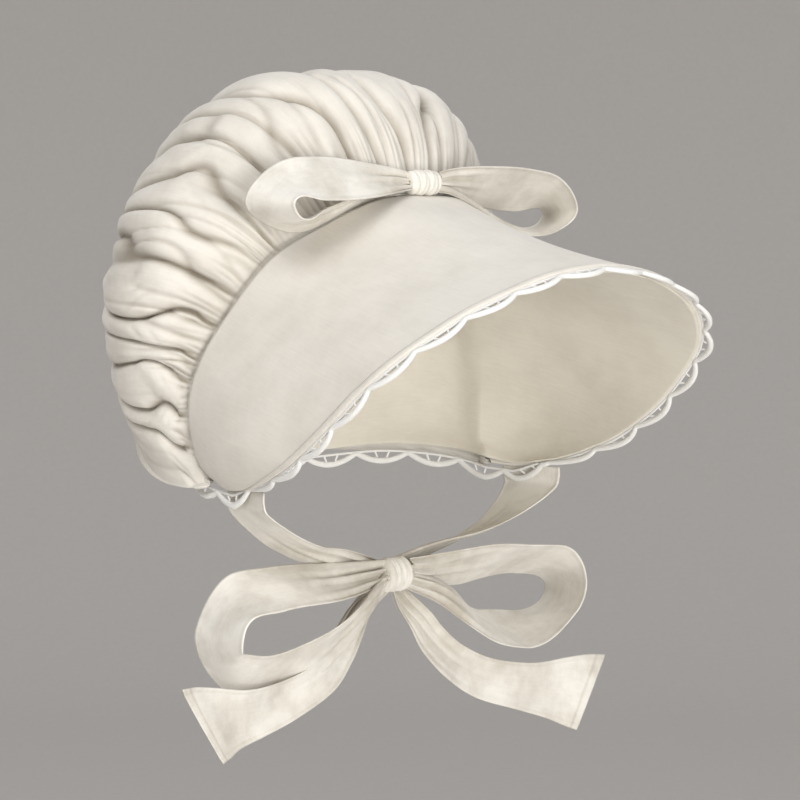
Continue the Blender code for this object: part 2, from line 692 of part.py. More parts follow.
def build_loop(name, rows, leans, knot, reach, height, width, side, longer, lift, collection, material):
    """One loop of a bow; leans says how its width lies, longer is what its far end reaches beyond reach,
    and lift raises its outer part."""
    table = np.array(rows, float)
    scale = np.array([reach, height, height, 0.0, 0.0])
    shares = np.linspace(0, 1, LOOP_STEPS)
    curve = through_points(table, length_positions(table * scale, shares))
    out = curve[:, 0] * reach + curve[:, 0] ** 2 * longer
    rise = curve[:, 1] * height + lift * np.interp(curve[:, 0], LOOP_LIFT_ENDS, [0.0, 1.0])
    line = np.stack([side * out, -curve[:, 2] * height, rise], axis=1)
    way = loop_leans(leans, shares)
    upward = np.where(way[:, 1:2] < 0, -1.0, 1.0)
    squeezed = unit(np.concatenate([0 * upward, 0 * upward + SQUEEZED_FORWARD, upward], axis=1))
    spread = unit(np.stack([way[:, 2], way[:, 0], way[:, 1]], axis=1))
    across = unit(spread + (squeezed - spread) * curve[:, 4:5]) * [side, -1.0, 1.0]
    across = across * curve[:, 3:4] * width / 2
    cup = (1 - curve[:, 3]) * width * LOOP_CUP * side
    ribbon(name, knot + line, across, cup, collection, material)


def build_knot(name, centre, half_size, collection, material):
    """A wrapped knot: a short barrel with pinched folds; half_size is half its length, depth and height."""
    table = np.array(KNOT_ROWS, float)
    turn = np.linspace(0.0, 2 * math.pi, KNOT_SIDES, endpoint=False)
    ring = np.stack([turn * 0, np.cos(turn) * half_size[1], np.sin(turn) * half_size[2]], axis=1)
    grid = ring[None] * table[:, 1][:, None, None]
    grid[:, :, 0] = table[:, 0][:, None] * half_size[0]
    grid = grid + centre
    rows, columns, _ = grid.shape
    faces = [list(f) for f in grid_faces(rows, columns, True)]
    faces.append(list(range(columns)))
    faces.append(list(range((rows - 1) * columns, rows * columns)))
    obj = mesh_object(name, grid.reshape(-1, 3), faces, material, collection)
    work = bmesh.new()
    work.from_mesh(obj.data)
    bmesh.ops.recalc_face_normals(work, faces=work.faces)
    work.to_mesh(obj.data)
    work.free()


def build_tie(name, side, inset, collection, material):
    """One chin tie, from the brim's corner to the chin knot; inset moves its sewn end in from the edge."""
    table = np.array(TIE_ROWS, float)
    scale = np.array([BRIM_HALF_WIDTH, BRIM_REACH, CHIN_KNOT_DROP, 0.0, 0.0, 0.0])
    curve = through_points(table, length_positions(table * scale, np.linspace(0, 1, TIE_STEPS)))
    line = curve[:, :3] * scale[:3] * FORWARD_AND_DOWN * [side, 1.0, 1.0]
    fade = np.interp(np.linspace(0, 1, len(line)), TIE_SHIFT_ENDS, [1.0, 0.0])
    line[:, 0] -= side * inset * fade
    turn = np.radians(curve[:, 3])
    splay = np.radians(curve[:, 5])
    across = np.stack([side * np.sin(splay), -np.cos(turn) * np.cos(splay), np.sin(turn)], axis=1)
    along = unit(np.gradient(line, axis=0))
    across = unit(across - along * (across * along).sum(axis=1, keepdims=True))
    across = across * (curve[:, 4] * TIE_WIDTH / 2)[:, None]
    ribbon(name, line, across, np.zeros(len(line)), collection, material)


def build_tail(name, chin, side, lift, aside, collection, material):
    """One tail of the chin bow, from its knot down and out to its slanting end; lift raises that end, and
    aside moves its middle out."""
    table = np.array(TAIL_ROWS, float)
    scale = np.array([TAIL_REACH, TAIL_REACH, TAIL_REACH, 0.0, 0.0])
    curve = through_points(table, length_positions(table * scale, np.linspace(0, 1, TAIL_STEPS)))
    line = curve[:, :3] * TAIL_REACH * FORWARD_AND_DOWN * [side, 1.0, 1.0] + chin
    line[:, 2] += lift * np.interp(curve[:, 0], [TAIL_LIFT_START, 1.0], [0.0, 1.0])
    line[:, 0] += side * aside * np.sin(math.pi * np.linspace(0, 1, TAIL_STEPS))
    turn = np.radians(curve[:, 3])
    across = np.stack([-side * np.cos(turn), np.zeros(len(turn)), -np.sin(turn)], axis=1)
    across = across * (curve[:, 4] * TIE_WIDTH / 2)[:, None]
    cup = np.maximum(0, 1 - curve[:, 4]) * TIE_WIDTH * TAIL_CUP * side
    ribbon(name, line, across, cup, collection, material)


def main():
    """Build every piece of the bonnet."""
    clear_scene()
    collection = bpy.data.collections.new("poke_bonnet")
    bpy.context.scene.collection.children.link(collection)
    cream = new_material("cream cotton", (0.80, 0.76, 0.68), 0.85)
    beige = new_material("beige lining cotton", (0.62, 0.57, 0.47), 0.9)
    white = new_material("white lace", (0.84, 0.83, 0.80), 0.8)
    satin = new_material("cream ribbon", (0.78, 0.73, 0.64), 0.55)
    build_crown(collection, cream)
    build_brim(collection, cream)
    build_lining(collection, beige)
    build_lace(collection, white)
    chin = np.array([0.0, CHIN_KNOT_FORWARD, CHIN_KNOT_DROP]) * FORWARD_AND_DOWN
    chin_wrap = chin + np.array([CHIN_KNOT_ASIDE, 0.0, 0.0])
    top = np.array([0.0, TOP_KNOT_FORWARD, TOP_KNOT_DROP]) * FORWARD_AND_DOWN
    build_knot("chin_bow_knot", chin_wrap, CHIN_KNOT_HALF_SIZE, collection, satin)
    build_knot("top_bow_knot", top, TOP_KNOT_HALF_SIZE, collection, satin)
    chin_loop = (chin, CHIN_LOOP_REACH)
    top_loop = (top, TOP_LOOP_REACH, TOP_LOOP_HEIGHT, TOP_WIDTH)
    bow = "chin_bow_loop_"
    build_loop(bow + "right", LOOP_ROWS, CHIN_LEANS_RIGHT, *chin_loop, CHIN_LOOP_HEIGHT, TIE_WIDTH, -1,
               CHIN_LOOP_RIGHT_LONGER, CHIN_LOOP_RIGHT_LIFT, collection, satin)
    build_loop(bow + "left", LOOP_ROWS, CHIN_LEANS_LEFT, *chin_loop, CHIN_LOOP_LEFT_HEIGHT, TIE_WIDTH, 1,
               CHIN_LOOP_LEFT_LONGER, CHIN_LOOP_LEFT_LIFT, collection, satin)
    bow = "top_bow_loop_"
    build_loop(bow + "right", TOP_LOOP_ROWS, TOP_LEANS_RIGHT, *top_loop, -1, 0.0, 0.0, collection, satin)
    build_loop(bow + "left", TOP_LOOP_ROWS, TOP_LEANS_LEFT, *top_loop, 1, 0.0,
               TOP_LOOP_LEFT_LIFT, collection, satin)
    sides = (
        (-1, "right", TIE_TURN_IN, TAIL_RIGHT_LIFT, TAIL_RIGHT_ASIDE),
        (1, "left", -TIE_TURN_OUT, TAIL_LEFT_LIFT, TAIL_LEFT_ASIDE),
    )
    for side, label, inset, lift, aside in sides:
        build_tie("chin_tie_" + label, side, inset, collection, satin)
        build_tail("chin_bow_tail_" + label, chin, side, lift, aside, collection, satin)


main()
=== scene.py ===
import math

import bpy
import numpy as np
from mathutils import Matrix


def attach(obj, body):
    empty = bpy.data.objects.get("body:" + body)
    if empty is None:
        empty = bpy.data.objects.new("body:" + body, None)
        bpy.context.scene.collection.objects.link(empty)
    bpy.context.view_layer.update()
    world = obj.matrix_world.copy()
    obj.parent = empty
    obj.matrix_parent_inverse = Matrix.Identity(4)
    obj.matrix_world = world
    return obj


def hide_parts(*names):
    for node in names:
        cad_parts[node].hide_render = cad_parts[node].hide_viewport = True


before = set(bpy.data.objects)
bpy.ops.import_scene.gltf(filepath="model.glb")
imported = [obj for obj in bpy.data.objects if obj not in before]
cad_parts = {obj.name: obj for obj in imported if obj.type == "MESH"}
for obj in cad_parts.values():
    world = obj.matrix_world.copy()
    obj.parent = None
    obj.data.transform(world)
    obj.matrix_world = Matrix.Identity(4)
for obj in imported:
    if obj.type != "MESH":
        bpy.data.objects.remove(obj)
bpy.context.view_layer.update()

bl_info = {
    "name": "Poke Bonnet",
    "version": (1, 0, 0),
    "blender": (4, 5, 0),
    "location": "3D View > Sidebar > Bonnet",
    "description": "Builds a cloth poke bonnet with a gathered crown, lace edging and ribbon bows",
    "category": "Add Mesh",
}

# Turns a row of (x, forward, drop) into (x, y, z): the wearer faces -Y.
FORWARD_AND_DOWN = np.array([1.0, -1.0, -1.0])

# The edge where brim and crown meet, from the middle of the top to the lower corner.
# Columns: width (share of the brim's half width), forward (share of its reach), drop (share of the
# neck drop), swell (how far the brim bulges in front of this point), groove (how far the crown
# stands back here, in fold depths).
SEAM_ROWS = (
    (0.000, 0.302, 0.102, -0.5, 0.8),
    (0.248, 0.288, 0.115, -0.8, 0.8),
    (0.470, 0.215, 0.197, -1.0, 0.6),
    (0.667, 0.142, 0.302, -0.7, 0.4),
    (0.800, 0.046, 0.490, 0.1, 0.2),
    (0.885, -0.003, 0.643, 0.6, 0.2),
    (0.900, -0.023, 0.783, 0.8, 0.3),
    (0.868, -0.006, 0.930, 0.6, 0.5),
    (0.820, 0.046, 1.000, 0.3, 0.3),
)

# The front edge of the brim, from the middle of the top to the lower front corner.
# Columns: width, forward, drop, as above.
FRONT_ROWS = (
    (0.000, 1.000, 0.312),
    (0.282, 0.988, 0.334),
    (0.491, 0.968, 0.379),
    (0.667, 0.933, 0.433),
    (0.815, 0.880, 0.506),
    (0.923, 0.808, 0.586),
    (0.980, 0.712, 0.682),
    (1.000, 0.605, 0.787),
    (0.983, 0.465, 0.892),
    (0.944, 0.350, 0.950),
    (0.905, 0.262, 0.984),
    (0.868, 0.192, 1.000),
)

# The neck edge, from the lower corner round to the nape.  Columns: width, forward, drop.
NECK_ROWS = (
    (0.820, 0.046, 1.000),
    (0.800, -0.050, 0.975),
    (0.718, -0.151, 0.955),
    (0.564, -0.262, 0.945),
    (0.342, -0.366, 0.960),
    (0.000, -0.413, 0.975),
)

# The crown's fullest line, row for row with the seam and then the neck.
# Columns: width (share of the crown's half width), back (share of its back), rise (share of its rise,
# or of the neck drop below the origin), roundness of the curve out to this line.
GIRTH_ROWS = (
    (0.000, 0.120, 0.885, 2.10),
    (0.380, 0.095, 0.770, 2.10),
    (0.675, 0.125, 0.280, 1.95),
    (0.848, 0.210, -0.130, 2.00),
    (0.922, 0.285, -0.400, 2.00),
    (0.922, 0.305, -0.590, 2.00),
    (0.880, 0.275, -0.765, 2.00),
    (0.822, 0.190, -0.905, 2.00),
    (0.790, 0.075, -1.010, 2.00),
    (0.776, 0.175, -1.005, 2.00),
    (0.716, 0.335, -0.990, 2.00),
    (0.577, 0.505, -0.975, 2.00),
    (0.342, 0.670, -0.965, 2.00),
    (0.000, 0.760, -0.975, 2.00),
)

# The middle line of the lining over the head.  Columns: back (share of the cap's back), rise (share of
# the neck drop).
RIDGE_ROWS = (
    (-0.555, -0.140),
    (-0.400, -0.128),
    (-0.180, -0.022),
    (0.040, 0.008),
    (0.460, -0.040),
    (0.820, -0.210),
    (0.970, -0.480),
    (0.925, -0.800),
    (0.742, -0.985),
)

# Fold depth of the crown: quarter turns from the gathered edge (1 is the fullest line, 2 the middle of
# the back), share of the fold depth.
FOLD_ROWS = (
    (-0.10, 0.00),
    (0.00, 0.25),
    (0.12, 0.80),
    (0.35, 1.00),
    (1.00, 0.95),
    (1.50, 0.55),
    (2.00, 0.00),
)

# Loops of the chin bow, from the knot round and back to it.  Columns: out (share of reach), rise and
# forward (shares of height), width share, upright (how far the width turns upright near the knot).
CHIN_LOOP_ROWS = (
    (0.060, 0.08, 0.10, 0.26, 0.85),
    (0.160, 0.05, 0.09, 0.38, 0.60),
    (0.360, 0.02, 0.08, 0.66, 0.25),
    (0.600, 0.03, 0.08, 0.92, 0.05),
    (0.820, 0.00, 0.08, 1.00, 0.00),
    (0.950, -0.18, 0.05, 1.00, 0.00),
    (1.000, -0.46, 0.02, 1.00, 0.00),
    (0.960, -0.76, 0.00, 1.00, 0.00),
    (0.840, -0.96, -0.02, 1.00, 0.00),
    (0.660, -1.00, -0.03, 0.96, 0.00),
    (0.480, -0.84, 0.13, 0.88, 0.10),
    (0.320, -0.54, 0.24, 0.64, 0.25),
    (0.180, -0.25, 0.20, 0.38, 0.50),
    (0.060, -0.08, 0.04, 0.24, 0.80),
)

# Loops of the top bow, whose lower strand rests along the brim; the same columns.
TOP_LOOP_ROWS = (
    (0.092, 0.05, 0.05, 0.30, 0.70),
    (0.200, 0.07, 0.08, 0.50, 0.40),
    (0.400, 0.06, 0.10, 0.84, 0.10),
    (0.620, 0.06, 0.10, 1.00, 0.00),
    (0.830, 0.02, 0.08, 1.00, 0.00),
    (0.950, -0.15, 0.05, 1.00, 0.00),
    (1.000, -0.42, 0.00, 1.00, 0.00),
    (0.950, -0.70, -0.05, 0.96, 0.00),
    (0.830, -0.84, -0.10, 0.88, 0.00),
    (0.660, -0.76, -0.18, 0.74, 0.00),
    (0.480, -0.52, -0.22, 0.56, 0.00),
    (0.320, -0.27, -0.18, 0.42, 0.10),
    (0.200, -0.14, -0.10, 0.32, 0.20),
    (0.092, -0.09, -0.05, 0.26, 0.40),
)

# How a loop's width leans: share of its length, then forward, up and out parts of the way from its far
# edge to its near one.  On the right the near edge borders the hole, on the left it is the outer one.
CHIN_LEANS_RIGHT = (
    (0.00, 0.93, -0.36, 0.00),
    (0.34, 0.93, -0.36, 0.00),
    (0.46, 0.97, 0.05, 0.06),
    (0.60, 0.62, 0.66, 0.42),
    (1.00, 0.62, 0.66, 0.42),
)
CHIN_LEANS_LEFT = (
    (0.00, 0.80, 0.60, 0.00),
    (0.16, 0.80, 0.60, 0.00),
    (0.36, 0.89, 0.45, 0.00),
    (0.52, 0.95, 0.00, -0.32),
    (0.68, 0.89, -0.45, 0.00),
    (0.84, 0.80, -0.60, 0.00),
    (1.00, 0.80, -0.60, 0.00),
)
TOP_LEANS_RIGHT = (
    (0.00, 0.74, -0.66, 0.00),
    (0.34, 0.74, -0.66, 0.00),
    (0.52, 0.98, 0.00, -0.17),
    (0.70, 0.85, 0.50, 0.12),
    (1.00, 0.85, 0.50, 0.12),
)
TOP_LEANS_LEFT = (
    (0.00, 0.74, 0.66, 0.00),
    (0.34, 0.74, 0.66, 0.00),
    (0.52, 0.98, 0.00, -0.17),
    (0.70, 0.94, -0.30, 0.00),
    (1.00, 0.94, -0.30, 0.00),
)

# Chin tie, from the brim's lower corner down to the knot.  Columns: out (share of the brim's half
# width), forward (share of its reach), drop (share of the knot's), turn (degrees of the width towards
# upright), width share, splay (degrees that its front turns outward).
TIE_ROWS = (
    (0.859, 0.172, 0.7640, 0.0, 0.86, 12.0),
    (0.858, 0.172, 0.790, 0.0, 0.86, 12.0),
    (0.846, 0.172, 0.815, 1.0, 0.84, 8.0),
    (0.770, 0.174, 0.850, 5.0, 0.78, 4.0),
    (0.640, 0.172, 0.892, 11.0, 0.70, 0.0),
    (0.480, 0.158, 0.926, 18.0, 0.58, 0.0),
    (0.290, 0.138, 0.953, 35.0, 0.44, 0.0),
    (0.036, 0.133, 0.990, 66.0, 0.22, 0.0),
)

# Bow tail, from the knot to its slanting end.  Columns: out, forward, drop (shares of its reach), turn
# (degrees of the width towards upright), width share.
TAIL_ROWS = (
    (0.033, -0.010, 0.055, 20.0, 0.17),
    (0.100, -0.040, 0.115, 20.0, 0.32),
    (0.158, -0.030, 0.190, 24.0, 0.42),
    (0.210, -0.025, 0.268, 30.0, 0.50),
    (0.298, -0.005, 0.352, 40.0, 0.54),
    (0.452, -0.005, 0.420, 54.0, 0.58),
    (0.650, 0.030, 0.456, 64.0, 0.66),
    (0.820, 0.048, 0.466, 64.0, 0.86),
    (0.920, 0.068, 0.475, 62.0, 1.02),
    (1.000, 0.085, 0.485, 58.0, 1.12),
)

# What differs between the two loops of the top bow.  Columns: side (-1 is the wearer's right), label,
# lean table, lift of the loop in metres.
TOP_HALVES = (
    (-1, "right", TOP_LEANS_RIGHT, 0.0),
    (1, "left", TOP_LEANS_LEFT, -0.005),
)

# The same for the chin bow, whose columns go on with share of the loop's height and how far the middle
# of the tail stands aside, in metres.
CHIN_HALVES = (
    (-1, "right", CHIN_LEANS_RIGHT, -0.001, 1.0, -0.0080),
    (1, "left", CHIN_LEANS_LEFT, -0.0005, 0.845, 0.006),
)

# How much farther out the right loop's far end reaches than the set reach, in metres.
RIGHT_LOOP_LONGER = -0.005

# Half sizes of the knots, in metres: across, front to back, up and down.
TOP_KNOT_HALF = (0.0098, 0.0054, 0.0062)
CHIN_KNOT_HALF = (0.0088, 0.0072, 0.0084)

# Threads of the lace: places worked out along each scallop, shares of it where its two bars stand and
# by which their tops lean inward, half width and half thickness of a bar in metres.
SCALLOP_PLACES = 30
BAR_FEET, BAR_LEAN = (0.36, 0.64), 0.05
BAR_HALF_WIDE, BAR_HALF_THICK = 0.00062, 0.0005

# How far the lace hangs below the neck edge, and the lining stands off the brim at the seam, in metres.
NECK_LACE_DROP = 0.0020
LINING_STEP = 0.0034

# Stitched lines of a ribbon: half width share of its selvedges, length share of a tail's hem, and how
# dark they are.
SELVEDGE, HEM, STITCH_SHADE = 0.90, 0.965, 0.45

# Thickness of the thin cloths, in metres.
LINING_WALL = 0.0007
RIBBON_WALL = 0.0006
BINDING_WALL = 0.0004

# Edge of the crown, in metres: gap to the neck edge, step back from it beside the brim's corners, and
# how far it is tucked under the brim.
CROWN_GAP = 0.0015
CROWN_STEP = 0.0035
CROWN_TUCK = 0.002

# Powers of the superellipse at the back of the crown and of the sine of the lace's arches.
BACK_POWER = 1.95
ARCH_POWER = 0.8

# Darker colour for the painted shade of creases and for the mottling, as shares of the cloth's own red,
# green and blue.
SHADE = (0.60, 0.57, 0.52)
FOLD_SHADE = (0.42, 0.385, 0.335)

# Finishes.  Columns: name, colour setting, shade, thread spacing in metres, roughness, sheen, height of
# the weave in metres, mottling.
FINISHES = {
    "crown": ("gathered cotton", "cotton", FOLD_SHADE, 0.00042, 0.90, 0.25, 0.00012, 0.24),
    "brim": ("starched cotton", "cotton", SHADE, 0.00042, 0.82, 0.20, 0.00008, 0.24),
    "lining": ("lining cotton", "lining", SHADE, 0.00046, 0.92, 0.15, 0.00010, 0.22),
    "ribbon": ("cream ribbon", "ribbon", SHADE, 0.00034, 0.70, 0.30, 0.00007, 0.75),
    "lace": ("white lace thread", "lace", SHADE, 0.00050, 0.85, 0.30, 0.00018, 0.08),
}

# Soft lights.  Columns: name, place, width, power, colour.
LIGHTS = (
    ("key light", (-2.1, -0.9, 2.0), 1.7, 43.0, (1.0, 0.985, 0.96)),
    ("front light", (-0.9, -2.4, -0.25), 1.3, 45.0, (1.0, 0.99, 0.97)),
    ("back light", (0.8, 1.8, 1.4), 1.4, 9.0, (1.0, 1.0, 1.0)),
)
LIT_POINT = (0.0, -0.035, -0.118)

# Floor: depth below the head's top, radius of its flat part, radius of its bend, height above the bend.
FLOOR_DROP, FLOOR_RADIUS, FLOOR_BEND, FLOOR_WALL = 1.3, 6.0, 2.0, 4.0

# Camera: turn and rise in degrees, distance, point looked at, width seen there, sensor width in mm.
VIEW_TURN, VIEW_RISE, VIEW_DISTANCE = -45.0, 3.5, 1.5
VIEW_TARGET, VIEW_WIDTH, SENSOR_WIDTH = (0.0, -0.0354, -0.118), 0.4, 36.0


def length_setting(name, text, value):
    """One length in metres that a user would change."""
    return bpy.props.FloatProperty(name=name, description=text, default=value, unit="LENGTH")


def lengths_setting(name, text, *values):
    """Several lengths in metres under one name."""
    return bpy.props.FloatVectorProperty(
        name=name, description=text, size=len(values), default=values, unit="LENGTH"
    )


def count_setting(name, text, value):
    """A whole number that a user would change."""
    return bpy.props.IntProperty(name=name, description=text, default=value)


def colour_setting(name, text, *value):
    """A colour that a user would change."""
    return bpy.props.FloatVectorProperty(
        name=name, description=text, subtype="COLOR", size=3, min=0, max=1, default=value
    )


class BonnetSizes(bpy.types.PropertyGroup):
    """Lengths of the bonnet."""

    brim_half_width: length_setting("Brim half width", "Half the width of the brim's mouth", 0.117)
    brim_reach: length_setting("Brim reach", "How far the brim reaches forward of the head's top", 0.172)
    neck_drop: length_setting("Neck drop", "From the head's top down to the lower edge", 0.157)
    brim_wall: length_setting("Brim wall", "Thickness of the stiffened brim", 0.0024)
    brim_bulge: length_setting("Brim bulge", "How far the brim swells out", 0.006)
    crown_half_width: length_setting("Crown half width", "Half the width of the puffed crown", 0.130)
    crown_rise: length_setting("Crown rise", "Height of the crown above the head", 0.0575)
    crown_back: length_setting("Crown back", "How far the crown reaches behind the head's top", 0.112)
    crown_back_drop: length_setting(
        "Crown back drop", "Height of the middle of the back, below the head's top", 0.052
    )
    cap_back: length_setting("Cap back", "How far the lining reaches back", 0.094)
    fold_depth: length_setting("Fold depth", "Depth of the crown's gathers", 0.0062)
    seam_puffs: count_setting("Puffs on the seam", "Gathers along the brim", 26)
    neck_puffs: count_setting("Puffs on the neck", "Gathers along the neck edge", 6)
    clearance: length_setting("Clearance", "Gap kept between pieces", 0.0004)


class TrimSizes(bpy.types.PropertyGroup):
    """Lengths of the lace and the ribbons."""

    scallops: count_setting("Scallops", "Scallops of lace round the opening", 30)
    lace_depth: length_setting("Lace depth", "From the edge to the top of a scallop", 0.0076)
    lace_header: length_setting("Lace header", "Width of the straight cord", 0.0014)
    lace_braid: length_setting("Lace braid", "Width of the scalloped braid", 0.0033)
    chin_width: length_setting("Chin ribbon", "Width of the chin ribbon", 0.040)
    top_width: length_setting("Top ribbon", "Width of the ribbon on top", 0.030)
    chin_knot: lengths_setting("Chin knot", "Forward and drop of the chin knot", 0.0304, 0.206)
    top_knot: lengths_setting("Top knot", "Forward and drop of the top knot", 0.051, 0.0098)
    chin_loop: lengths_setting(
        "Chin loop", "Reach and height of a chin loop, and the left one's extra reach", 0.122, 0.042, 0.008
    )
    top_loop: lengths_setting("Top loop", "Reach and height of a top loop", 0.102, 0.023)
    tail_reach: length_setting("Tail reach", "How far a tail reaches out", 0.138)
    tail_lifts: lengths_setting(
        "Tail lifts", "How far the right and left tail ends are raised", 0.0075, -0.0070
    )
    tie_shifts: lengths_setting(
        "Tie shifts", "How far inside the edge the right and left ties are sewn", 0.0024, -0.0034
    )


class BonnetColours(bpy.types.PropertyGroup):
    """Colours of the cloth, lace, ribbon and stage."""

    cotton: colour_setting("Cotton", "Cream cotton of brim and crown", 0.77, 0.735, 0.67)
    lining: colour_setting("Lining", "Beige lining", 0.76, 0.72, 0.63)
    lace: colour_setting("Lace", "White lace", 0.86, 0.855, 0.83)
    ribbon: colour_setting("Ribbon", "Cream ribbon", 0.84, 0.81, 0.745)
    floor: colour_setting("Floor", "Pale floor and backdrop", 0.705, 0.678, 0.645)


def through_points(points, at):
    """Smooth curve through points: cubic Hermite pieces with tangents from the neighbours."""
    points = np.asarray(points, float)
    last = len(points) - 1
    at = np.clip(np.asarray(at, float), 0.0, last)
    before = np.vstack([2 * points[:1] - points[1:2], points[:-1]])
    after = np.vstack([points[1:], 2 * points[-1:] - points[-2:-1]])
    slope = (after - before) / 2
    low = np.minimum(at.astype(int), last - 1)
    part = (at - low)[:, None]
    first = 2 * part**3 - 3 * part**2 + 1
    second = part**3 - 2 * part**2 + part
    return (
        first * points[low]
        + second * slope[low]
        + (1 - first) * points[low + 1]
        + (part**3 - part**2) * slope[low + 1]
    )


def run_along(points):
    """Distance along a row of points, from 0."""
    return np.concatenate([[0.0], np.cumsum(np.linalg.norm(np.diff(points, axis=0), axis=1))])


def length_positions(points, shares):
    """Curve parameters that lie at the given shares of the curve's length."""
    fine = np.linspace(0.0, len(points) - 1, 40 * (len(points) - 1) + 1)
    run = run_along(through_points(points, fine)[:, :3])
    return np.interp(np.asarray(shares) * run[-1], run, fine)


def spaced(points, shares):
    """Points of the smooth curve that lie at the given shares of its length."""
    return through_points(points, length_positions(points, shares))


def table_curve(rows, scale, shares):
    """A table's smooth curve at shares of its length; scale gives each column's metres, or 0."""
    table = np.array(rows, float)
    return through_points(table, length_positions(table * scale, shares))


def mirrored(half):
    """A whole edge from its half: the other side reversed, the middle once, then this side."""
    return np.vstack([half[:0:-1] * np.array([-1.0, 1.0, 1.0]), half])


def mirrored_neck(half):
    """A whole neck line from its half, from this side's corner round the nape to the other corner."""
    return mirrored(half[::-1])[::-1]


def mirrored_column(rows, column):
    """One column of a half table, laid out like mirrored points."""
    values = np.array(rows, float)[:, column]
    return np.concatenate([values[:0:-1], values])


def unit(vectors):
    """Vectors scaled to length one."""
    return vectors / np.maximum(np.linalg.norm(vectors, axis=-1, keepdims=True), 1e-12)


def smooth_step(value, start, end):
    """0 before start, 1 after end, and 3x^2 - 2x^3 of the way between them."""
    part = np.clip((value - start) / (end - start), 0, 1)
    return part * part * (3 - 2 * part)


def scatter(number, seed):
    """A fixed, uneven value from 0 to 1 for each number: the fraction of a large sine."""
    value = np.sin(number * 12.9898 + seed * 78.233) * 43758.5453
    return value - np.floor(value)


def normals_of(grid, closed):
    """Unit normals of a grid; closed says whether its columns run right round."""
    if closed:
        across = np.roll(grid, -1, axis=1) - np.roll(grid, 1, axis=1)
    else:
        across = np.gradient(grid, axis=1)
    return unit(np.cross(np.gradient(grid, axis=0), across))


def edge_points(size, rows):
    """Edge points in metres from rows of shares: width, forward, drop."""
    scale = np.array([size.brim_half_width, size.brim_reach, size.neck_drop])
    return np.array(rows, float)[:, :3] * scale * FORWARD_AND_DOWN


def girth_points(size):
    """Points in metres of the crown's fullest line."""
    table = np.array(GIRTH_ROWS, float)
    height = table[:, 2] * np.where(table[:, 2] > 0, size.crown_rise, size.neck_drop)
    wide = table[:, 0] * size.crown_half_width
    return np.stack([wide, table[:, 1] * size.crown_back, height], axis=1)


def add_object(name, data):
    """Puts a mesh, light or camera into the scene as an object at the origin."""
    obj = bpy.data.objects.new(name, data)
    bpy.context.scene.collection.objects.link(obj)
    return obj


def cloth_mesh(name, grid, closed=False, pole=None, ring=False, shade_and_stitches=None, flip=False):
    """A mesh object from a grid of points.  Its UV map holds metres along and across the cloth, and a
    point attribute holds the painted shade of its creases and the darkening of stitched lines.  closed
    joins the last column to the first, ring the last row to the first, and pole is a point that closes the
    last row."""
    rows, columns, _ = grid.shape
    tall = rows if ring else rows - 1
    wide = columns if closed else columns - 1
    row, column = np.meshgrid(np.arange(tall), np.arange(wide), indexing="ij")
    above, beside = (row + 1) % rows, (column + 1) % columns
    faces = np.stack(
        [row * columns + column, above * columns + column, above * columns + beside,
         row * columns + beside], axis=-1,
    ).reshape(-1, 4)
    along, across = run_along(grid[:, columns // 2]), run_along(grid[rows // 2])
    along = np.append(along, along[-1] + along[-1] / rows)
    across = np.append(across, across[-1] + across[-1] / columns)
    u = np.stack([across[column], across[column], across[column + 1], across[column + 1]], axis=-1)
    v = np.stack([along[row], along[row + 1], along[row + 1], along[row]], axis=-1)
    uv = np.stack([u, v], axis=-1).reshape(-1, 2)
    points = grid.reshape(-1, 3)
    # Painted shade of the creases, and stitched lines, one value per point; zero where none is given.
    point_shade_and_stitches = np.zeros(len(points)) if shade_and_stitches is None else np.asarray(shade_and_stitches, float).reshape(-1)
    if flip:
        faces, uv = faces[:, ::-1], uv.reshape(-1, 4, 2)[:, ::-1].reshape(-1, 2)
    sizes = np.full(len(faces), 4)
    loops = faces.reshape(-1)
    if pole is not None:
        last = (rows - 1) * columns + np.arange(columns)
        after = (rows - 1) * columns + (np.arange(columns) + 1) % columns
        centre = np.full(columns, len(points))
        fan = np.stack([last, centre, after], axis=1)
        fan = fan[:, ::-1] if flip else fan
        fan_uv = np.stack([across[fan % columns], np.full(fan.shape, along[rows])], axis=-1)
        points = np.vstack([points, [pole]])
        point_shade_and_stitches = np.append(point_shade_and_stitches, 0.0)
        loops = np.concatenate([loops, fan.reshape(-1)])
        uv = np.vstack([uv, fan_uv.reshape(-1, 2)])
        sizes = np.concatenate([sizes, np.full(columns, 3)])
    mesh = bpy.data.meshes.new(name)
    mesh.vertices.add(len(points))
    mesh.vertices.foreach_set("co", points.astype(np.float32).reshape(-1))
    mesh.loops.add(len(loops))
    mesh.loops.foreach_set("vertex_index", loops.astype(np.int32))
    mesh.polygons.add(len(sizes))
    starts = np.concatenate([[0], np.cumsum(sizes)[:-1]])
    mesh.polygons.foreach_set("loop_start", starts.astype(np.int32))
    mesh.polygons.foreach_set("loop_total", sizes.astype(np.int32))
    layer = mesh.uv_layers.new(name="cloth")
    mesh.update(calc_edges=True)
    layer.data.foreach_set("uv", uv.astype(np.float32).reshape(-1))
    attribute = mesh.attributes.new("shade_and_stitches", "FLOAT", "POINT")
    attribute.data.foreach_set("value", point_shade_and_stitches.astype(np.float32))
    mesh.validate()
    mesh.shade_smooth()
    return add_object(name, mesh)


def add_wall(obj, thickness, offset):
    """Cloth thickness: offset -1 grows inward, 0 to both sides."""
    solid = obj.modifiers.new("cloth thickness", "SOLIDIFY")
    solid.thickness = thickness
    solid.offset = offset
    solid.use_rim = True


def dress(obj, material, nodes):
    obj.data.materials.append(material)
    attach(obj, "root")
    if nodes:
        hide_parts(*nodes)


def node_of(tree, kind, place, inputs=None, **settings):
    """A shader node at a place in the tree.  Each input takes a value or another node's output."""
    node = tree.nodes.new(kind)
    node.location = place
    for key, value in settings.items():
        setattr(node, key, value)
    for key, value in (inputs or {}).items():
        if isinstance(value, bpy.types.NodeSocket):
            tree.links.new(value, node.inputs[key])
        else:
            node.inputs[key].default_value = value
    return node


